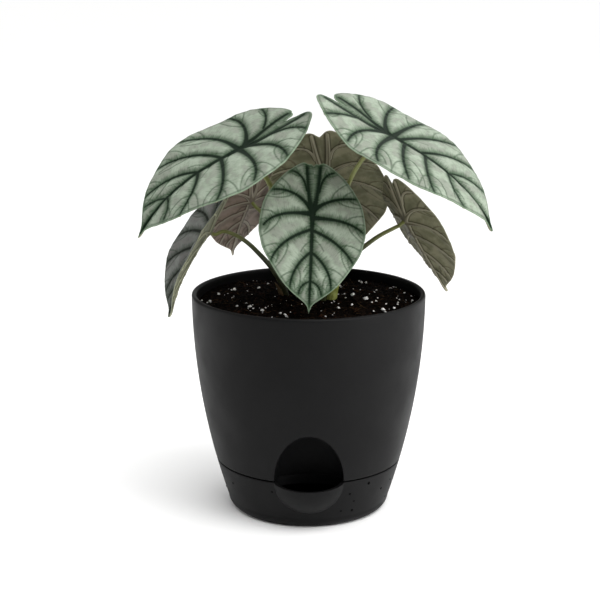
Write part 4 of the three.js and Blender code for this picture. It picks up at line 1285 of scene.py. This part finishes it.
def upper_side(name, silver, silver_low, blush, halo_colour, dark, border_colour):
    """Silver-green with dark green veins that fade out through fine hairs."""
    material, tree, surface = new_material(name)
    veins = add_node(tree, "ShaderNodeGroup", node_tree=LEAF_VEINS)
    veins.inputs["Halo reach"].default_value = 6.4
    veins.inputs["Core reach"].default_value = 1.3
    out = veins.outputs
    light = mix_colour(tree, ramp(tree, out["Cloud"], 0.38, 0.62), silver_low, silver)
    light = mix_colour(tree, ramp(tree, out["Cloud"], 0.52, 0.44, 0.0, 0.55), light, blush)
    light = mix_colour(tree, ramp(tree, out["Streak"], 0.56, 0.3, 0.0, 0.3), light, halo_colour)
    colour = mix_colour(tree, calc(tree, "MULTIPLY", out["Halo"], 0.86), light, halo_colour)
    colour = mix_colour(tree, calc(tree, "MULTIPLY", out["Fine"], 0.62), colour, halo_colour)
    colour = mix_colour(tree, calc(tree, "MULTIPLY", out["Core"], 0.96), colour, dark)
    colour = mix_colour(tree, calc(tree, "MULTIPLY", out["Rim line"], 0.55), colour, halo_colour)
    colour = mix_colour(tree, calc(tree, "MULTIPLY", out["Border"], 0.7), colour, border_colour)
    tree.links.new(colour, surface.inputs["Base Color"])
    rough = ramp(tree, out["Grain"], 0.3, 0.7, 0.44, 0.56)
    tree.links.new(rough, surface.inputs["Roughness"])
    surface.inputs["Specular IOR Level"].default_value = 0.07
    height = calc(tree, "MULTIPLY_ADD", out["Streak"], 1.2, out["Grain"])
    bump = add_node(tree, "ShaderNodeBump", {"Height": height, "Strength": 0.4, "Distance": 0.0002})
    tree.links.new(bump.outputs[0], surface.inputs["Normal"])
    return material


def underside(name, ground, ground_low, rib_shade_and_fine_vein, rib_highlight_and_pale_edge):
    """Dull underside, olive or pinkish brown; ribs get a painted highlight along them and painted shade
    beside them.
    """
    material, tree, surface = new_material(name)
    veins = add_node(tree, "ShaderNodeGroup", node_tree=LEAF_VEINS)
    veins.inputs["Halo reach"].default_value = 5.0
    veins.inputs["Core reach"].default_value = 0.0
    out = veins.outputs
    gap = add_node(tree, "ShaderNodeAttribute", attribute_name="main_gap").outputs["Fac"]
    base = mix_colour(tree, ramp(tree, out["Cloud"], 0.36, 0.64), ground_low, ground)
    base = mix_colour(tree, ramp(tree, out["Streak"], 0.55, 0.3, 0.0, 0.4), base, ground_low)
    colour = mix_colour(tree, calc(tree, "MULTIPLY", out["Halo"], 0.5), base, ground_low)
    # Painted shade: a dark line on both sides of each rib stands in for the shade of the raised rib. The same
    # dark colour draws the fine veins.
    colour = mix_colour(tree, ramp(tree, gap, 2.0, 0.8, 0.0, 0.8), colour, rib_shade_and_fine_vein)
    colour = mix_colour(tree, calc(tree, "MULTIPLY", out["Fine"], 0.55), colour, rib_shade_and_fine_vein)
    # Painted highlight: a pale band along each rib stands in for light on the raised rib. The same pale
    # colour gives the blade's pale edge.
    rib = calc(tree, "SUBTRACT", ramp(tree, gap, 0.8, 0.3, 0.0, 0.7), ramp(tree, gap, -0.2, -0.8, 0.0, 0.5))
    colour = mix_colour(tree, rib, colour, rib_highlight_and_pale_edge)
    colour = mix_colour(tree, calc(tree, "MULTIPLY", out["Border"], 0.5), colour, rib_highlight_and_pale_edge)
    tree.links.new(colour, surface.inputs["Base Color"])
    surface.inputs["Roughness"].default_value = 0.62
    surface.inputs["Specular IOR Level"].default_value = 0.14
    bump = add_node(tree, "ShaderNodeBump", {"Height": out["Grain"], "Strength": 0.4, "Distance": 0.0002})
    tree.links.new(bump.outputs[0], surface.inputs["Normal"])
    return material


SILVER = upper_side("silver upper side", (0.29, 0.338, 0.268, 1), (0.21, 0.26, 0.192, 1),
                    (0.245, 0.25, 0.22, 1), (0.027, 0.057, 0.026, 1), (0.0015, 0.008, 0.0025, 1),
                    (0.17, 0.235, 0.155, 1))
# A darker, greyer copy of the silver upper side: painted shade for the left blade.
SHADED = upper_side("grey upper side", (0.20, 0.21, 0.195, 1), (0.14, 0.15, 0.135, 1), (0.18, 0.17, 0.165, 1),
                    (0.04, 0.05, 0.038, 1), (0.008, 0.012, 0.007, 1), (0.14, 0.16, 0.12, 1))
# Each underside's last two colours are the painted rib shade, also used for fine veins, and the painted rib
# highlight, also used for the pale edge.
OLIVE = underside("olive underside", (0.245, 0.235, 0.15, 1), (0.15, 0.15, 0.09, 1), (0.038, 0.032, 0.02, 1),
                  (0.36, 0.34, 0.24, 1))
PINKISH = underside("pinkish underside", (0.33, 0.26, 0.215, 1), (0.225, 0.18, 0.14, 1),
                    (0.06, 0.045, 0.033, 1), (0.46, 0.42, 0.33, 1))
PALE = underside("pale underside", (0.30, 0.31, 0.22, 1), (0.22, 0.23, 0.16, 1), (0.10, 0.10, 0.06, 1),
                 (0.42, 0.43, 0.30, 1))
# Rows and columns of a half blade's mesh: fine for the three that the photo shows best, coarse for the rest.
FINE_GRID = (228, 68)
COARSE_GRID = (166, 48)


def blade(name, size, bends, section, notch, materials, seed,
          veins=(USUAL_VEINS, USUAL_VEINS), grid=COARSE_GRID, lobes=((0, 0), (0, 0))):
    """One blade: its flat sheet, bent and hung at the hub, then saved as a plain mesh.
    Size is length and half width, bends are droop, lobe and lift, section is fold, cup, twist and sweep."""
    length, half_width = size
    droop, lobe, lift = bends
    fold, cup, twist, sweep = section
    flat = flat_blade("leaf_" + name, length, half_width, notch, lobes, veins[0], veins[1], *grid, seed)
    for material in materials:
        flat.materials.append(material)
    piece = bpy.data.objects.new("leaf_" + name, flat)
    bpy.context.scene.collection.objects.link(piece)
    hub, *angles = HUBS[name]
    along, right, up = blade_directions(*angles)
    inputs = {"Length": length * MM, "Half width": half_width * MM, "Droop": math.radians(droop),
              "Lobe droop": math.radians(lobe), "Lift": math.radians(lift), "Fold": math.radians(fold),
              "Cup": math.radians(cup), "Twist": math.radians(twist), "Sweep": math.radians(sweep),
              "Hub": np.array(hub) * MM, "Along": along, "Right": right, "Up": up}
    stand_for(settle(piece, BLADE_BENDING, inputs), "blade_" + name)


UPPER_LEFT_VEINS = (
    [((0, 0.05), (0.62, 0.06), (0.93, 0.31)), ((0, 0.18), (0.50, 0.27), (0.70, 0.56)),
     ((0, 0.37), (0.33, 0.50), (0.41, 0.78)), ((0, 0.66), (0.18, 0.71), (0.25, 0.81)),
     ((0.02, -0.01), (0.50, -0.18), (0.93, -0.07)), ((0.14, -0.20), (0.32, -0.31), (0.58, -0.31))],
    [((0, 0.05), (0.62, 0.0), (0.92, 0.14)), ((0, 0.19), (0.62, 0.27), (0.88, 0.43)),
     ((0, 0.38), (0.38, 0.46), (0.57, 0.68)), ((0, 0.65), (0.24, 0.68), (0.32, 0.77)),
     ((0.02, -0.01), (0.35, -0.21), (0.80, -0.155)), ((0.10, -0.19), (0.22, -0.36), (0.52, -0.375))],
)
UPPER_RIGHT_VEINS = (
    [((0, 0.06), (0.62, 0.0), (0.91, 0.11)), ((0, 0.15), (0.52, 0.19), (0.88, 0.34)),
     ((0, 0.31), (0.48, 0.38), (0.75, 0.52)), ((0, 0.50), (0.32, 0.56), (0.48, 0.73)),
     ((0.02, -0.01), (0.36, -0.18), (0.80, -0.135)), ((0.11, -0.21), (0.28, -0.31), (0.60, -0.37))],
    [((0, 0.055), (0.55, 0.08), (0.95, 0.13)), ((0, 0.10), (0.62, 0.25), (0.90, 0.42)),
     ((0, 0.27), (0.52, 0.44), (0.68, 0.65)), ((0, 0.51), (0.33, 0.60), (0.40, 0.81)),
     ((0.02, 0.0), (0.45, -0.13), (0.93, -0.10)), ((0.13, -0.15), (0.22, -0.29), (0.52, -0.345))],
)
FRONT_VEINS = (
    [((0, 0.03), (0.70, 0.01), (0.91, 0.17)), ((0, 0.18), (0.62, 0.30), (0.76, 0.52)),
     ((0, 0.40), (0.38, 0.56), (0.38, 0.77)), ((0, 0.69), (0.20, 0.72), (0.21, 0.82)),
     ((0.02, -0.01), (0.30, -0.22), (0.76, -0.185)), ((0.12, -0.20), (0.19, -0.38), (0.44, -0.385))],
    [((0, 0.07), (0.66, 0.06), (0.94, 0.19)), ((0, 0.19), (0.58, 0.31), (0.79, 0.52)),
     ((0, 0.41), (0.38, 0.56), (0.38, 0.77)), ((0, 0.69), (0.18, 0.72), (0.21, 0.82)),
     ((0.02, -0.01), (0.32, -0.15), (0.80, -0.145)), ((0.12, -0.19), (0.16, -0.37), (0.38, -0.385))],
)

blade("upper_left", size=(125, 60.5), bends=(44, 11, 10.5), section=(5.5, 10, 1, 0), notch=-0.35,
      materials=(SILVER, OLIVE), seed=3, veins=UPPER_LEFT_VEINS, grid=FINE_GRID,
      lobes=((-0.04, 0), (0.04, 0.05)))
blade("upper_right", size=(129, 62), bends=(43, 12.5, 9), section=(5, 12, 2, -1), notch=-0.345,
      materials=(SILVER, OLIVE), seed=5, veins=UPPER_RIGHT_VEINS, grid=FINE_GRID,
      lobes=((0.045, 0.08), (-0.025, 0)))
blade("front", size=(92, 47.5), bends=(13, 10, 9), section=(7, 10, 0, 1), notch=-0.45,
      materials=(SILVER, OLIVE), seed=8, veins=FRONT_VEINS, grid=FINE_GRID)
blade("back_centre", size=(125, 59), bends=(13.5, 10.5, 7.5), section=(-4, 14, 5, -2.5), notch=-0.415,
      materials=(SILVER, OLIVE), seed=12)
blade("back_left", size=(87, 41), bends=(16.5, 1, 18), section=(12, 15.5, 0, 0), notch=-0.39,
      materials=(SILVER, PINKISH), seed=17)
# The left blade wears the painted-shade copy of the upper side.
blade("left", size=(87, 42), bends=(21.5, 5, 6), section=(21, 2.5, 0, 0), notch=-0.39,
      materials=(SHADED, PALE), seed=21)
blade("right", size=(98.5, 44), bends=(-7, 6.5, 10.5), section=(14.5, 3.5, -2, -3), notch=-0.41,
      materials=(SILVER, OLIVE), seed=26)

# Studio
# A wide pale floor under a bright room that is darker at the front, with a soft key light at the right,
# a weak light at the left and one above the lens.
FLOOR_REACH = 30
floor_mesh = bpy.data.meshes.new("floor")
floor_corners = [(FLOOR_REACH * x, FLOOR_REACH * y, 0) for x, y in ((-1, -1), (1, -1), (1, 1), (-1, 1))]
floor_mesh.from_pydata(floor_corners, [], [(0, 1, 2, 3)])
floor = bpy.data.objects.new("floor", floor_mesh)
bpy.context.scene.collection.objects.link(floor)
floor_material, tree, surface = new_material("pale floor")
surface.inputs["Base Color"].default_value = (0.97, 0.97, 0.965, 1)
surface.inputs["Roughness"].default_value = 0.9
surface.inputs["Specular IOR Level"].default_value = 0.1
floor_mesh.materials.append(floor_material)

room = bpy.data.worlds.new("room")
room.use_nodes = True
tree = room.node_tree
direction = tree.nodes.new("ShaderNodeTexCoord").outputs["Generated"]
parts = add_node(tree, "ShaderNodeSeparateXYZ", {0: direction}).outputs
overhead = ramp(tree, parts[2], -0.1, 0.9, 0.5, 1.5)
toward_lens = calc(tree, "MULTIPLY_ADD", parts[1], -0.97, calc(tree, "MULTIPLY", parts[0], -0.22))
front = ramp(tree, toward_lens, 0.1, 0.8, 1.0, 0.05)
sideways = ramp(tree, parts[0], -0.6, 0.8, 0.62, 1.45)
strength = calc(tree, "MULTIPLY", calc(tree, "MULTIPLY", overhead, front), sideways)
tree.nodes["Background"].inputs["Color"].default_value = (1, 1, 1, 1)
tree.links.new(strength, tree.nodes["Background"].inputs["Strength"])
bpy.context.scene.world = room


LIT_PLACE = (0, 0, 0.2)


def soft_light(name, place, size, power):
    """A rectangular lamp that faces the plant, its place and size in metres and its power in watts."""
    data = bpy.data.lights.new(name, "AREA")
    data.shape = "RECTANGLE"
    data.size, data.size_y = size
    data.energy = power
    lamp = bpy.data.objects.new(name, data)
    lamp.location = place
    direction = np.array(LIT_PLACE) - np.array(place)
    flat = math.hypot(direction[0], direction[1])
    lamp.rotation_euler = (math.atan2(flat, -direction[2]), 0, math.atan2(-direction[0], direction[1]))
    bpy.context.scene.collection.objects.link(lamp)


soft_light("key", (1.55, -0.85, 0.75), (1.1, 1.6), 15)
soft_light("side", (-1.6, 0.1, 0.7), (0.5, 1.3), 5)
soft_light("top", (0.5, -1.1, 1.9), (1.6, 1.4), 25)
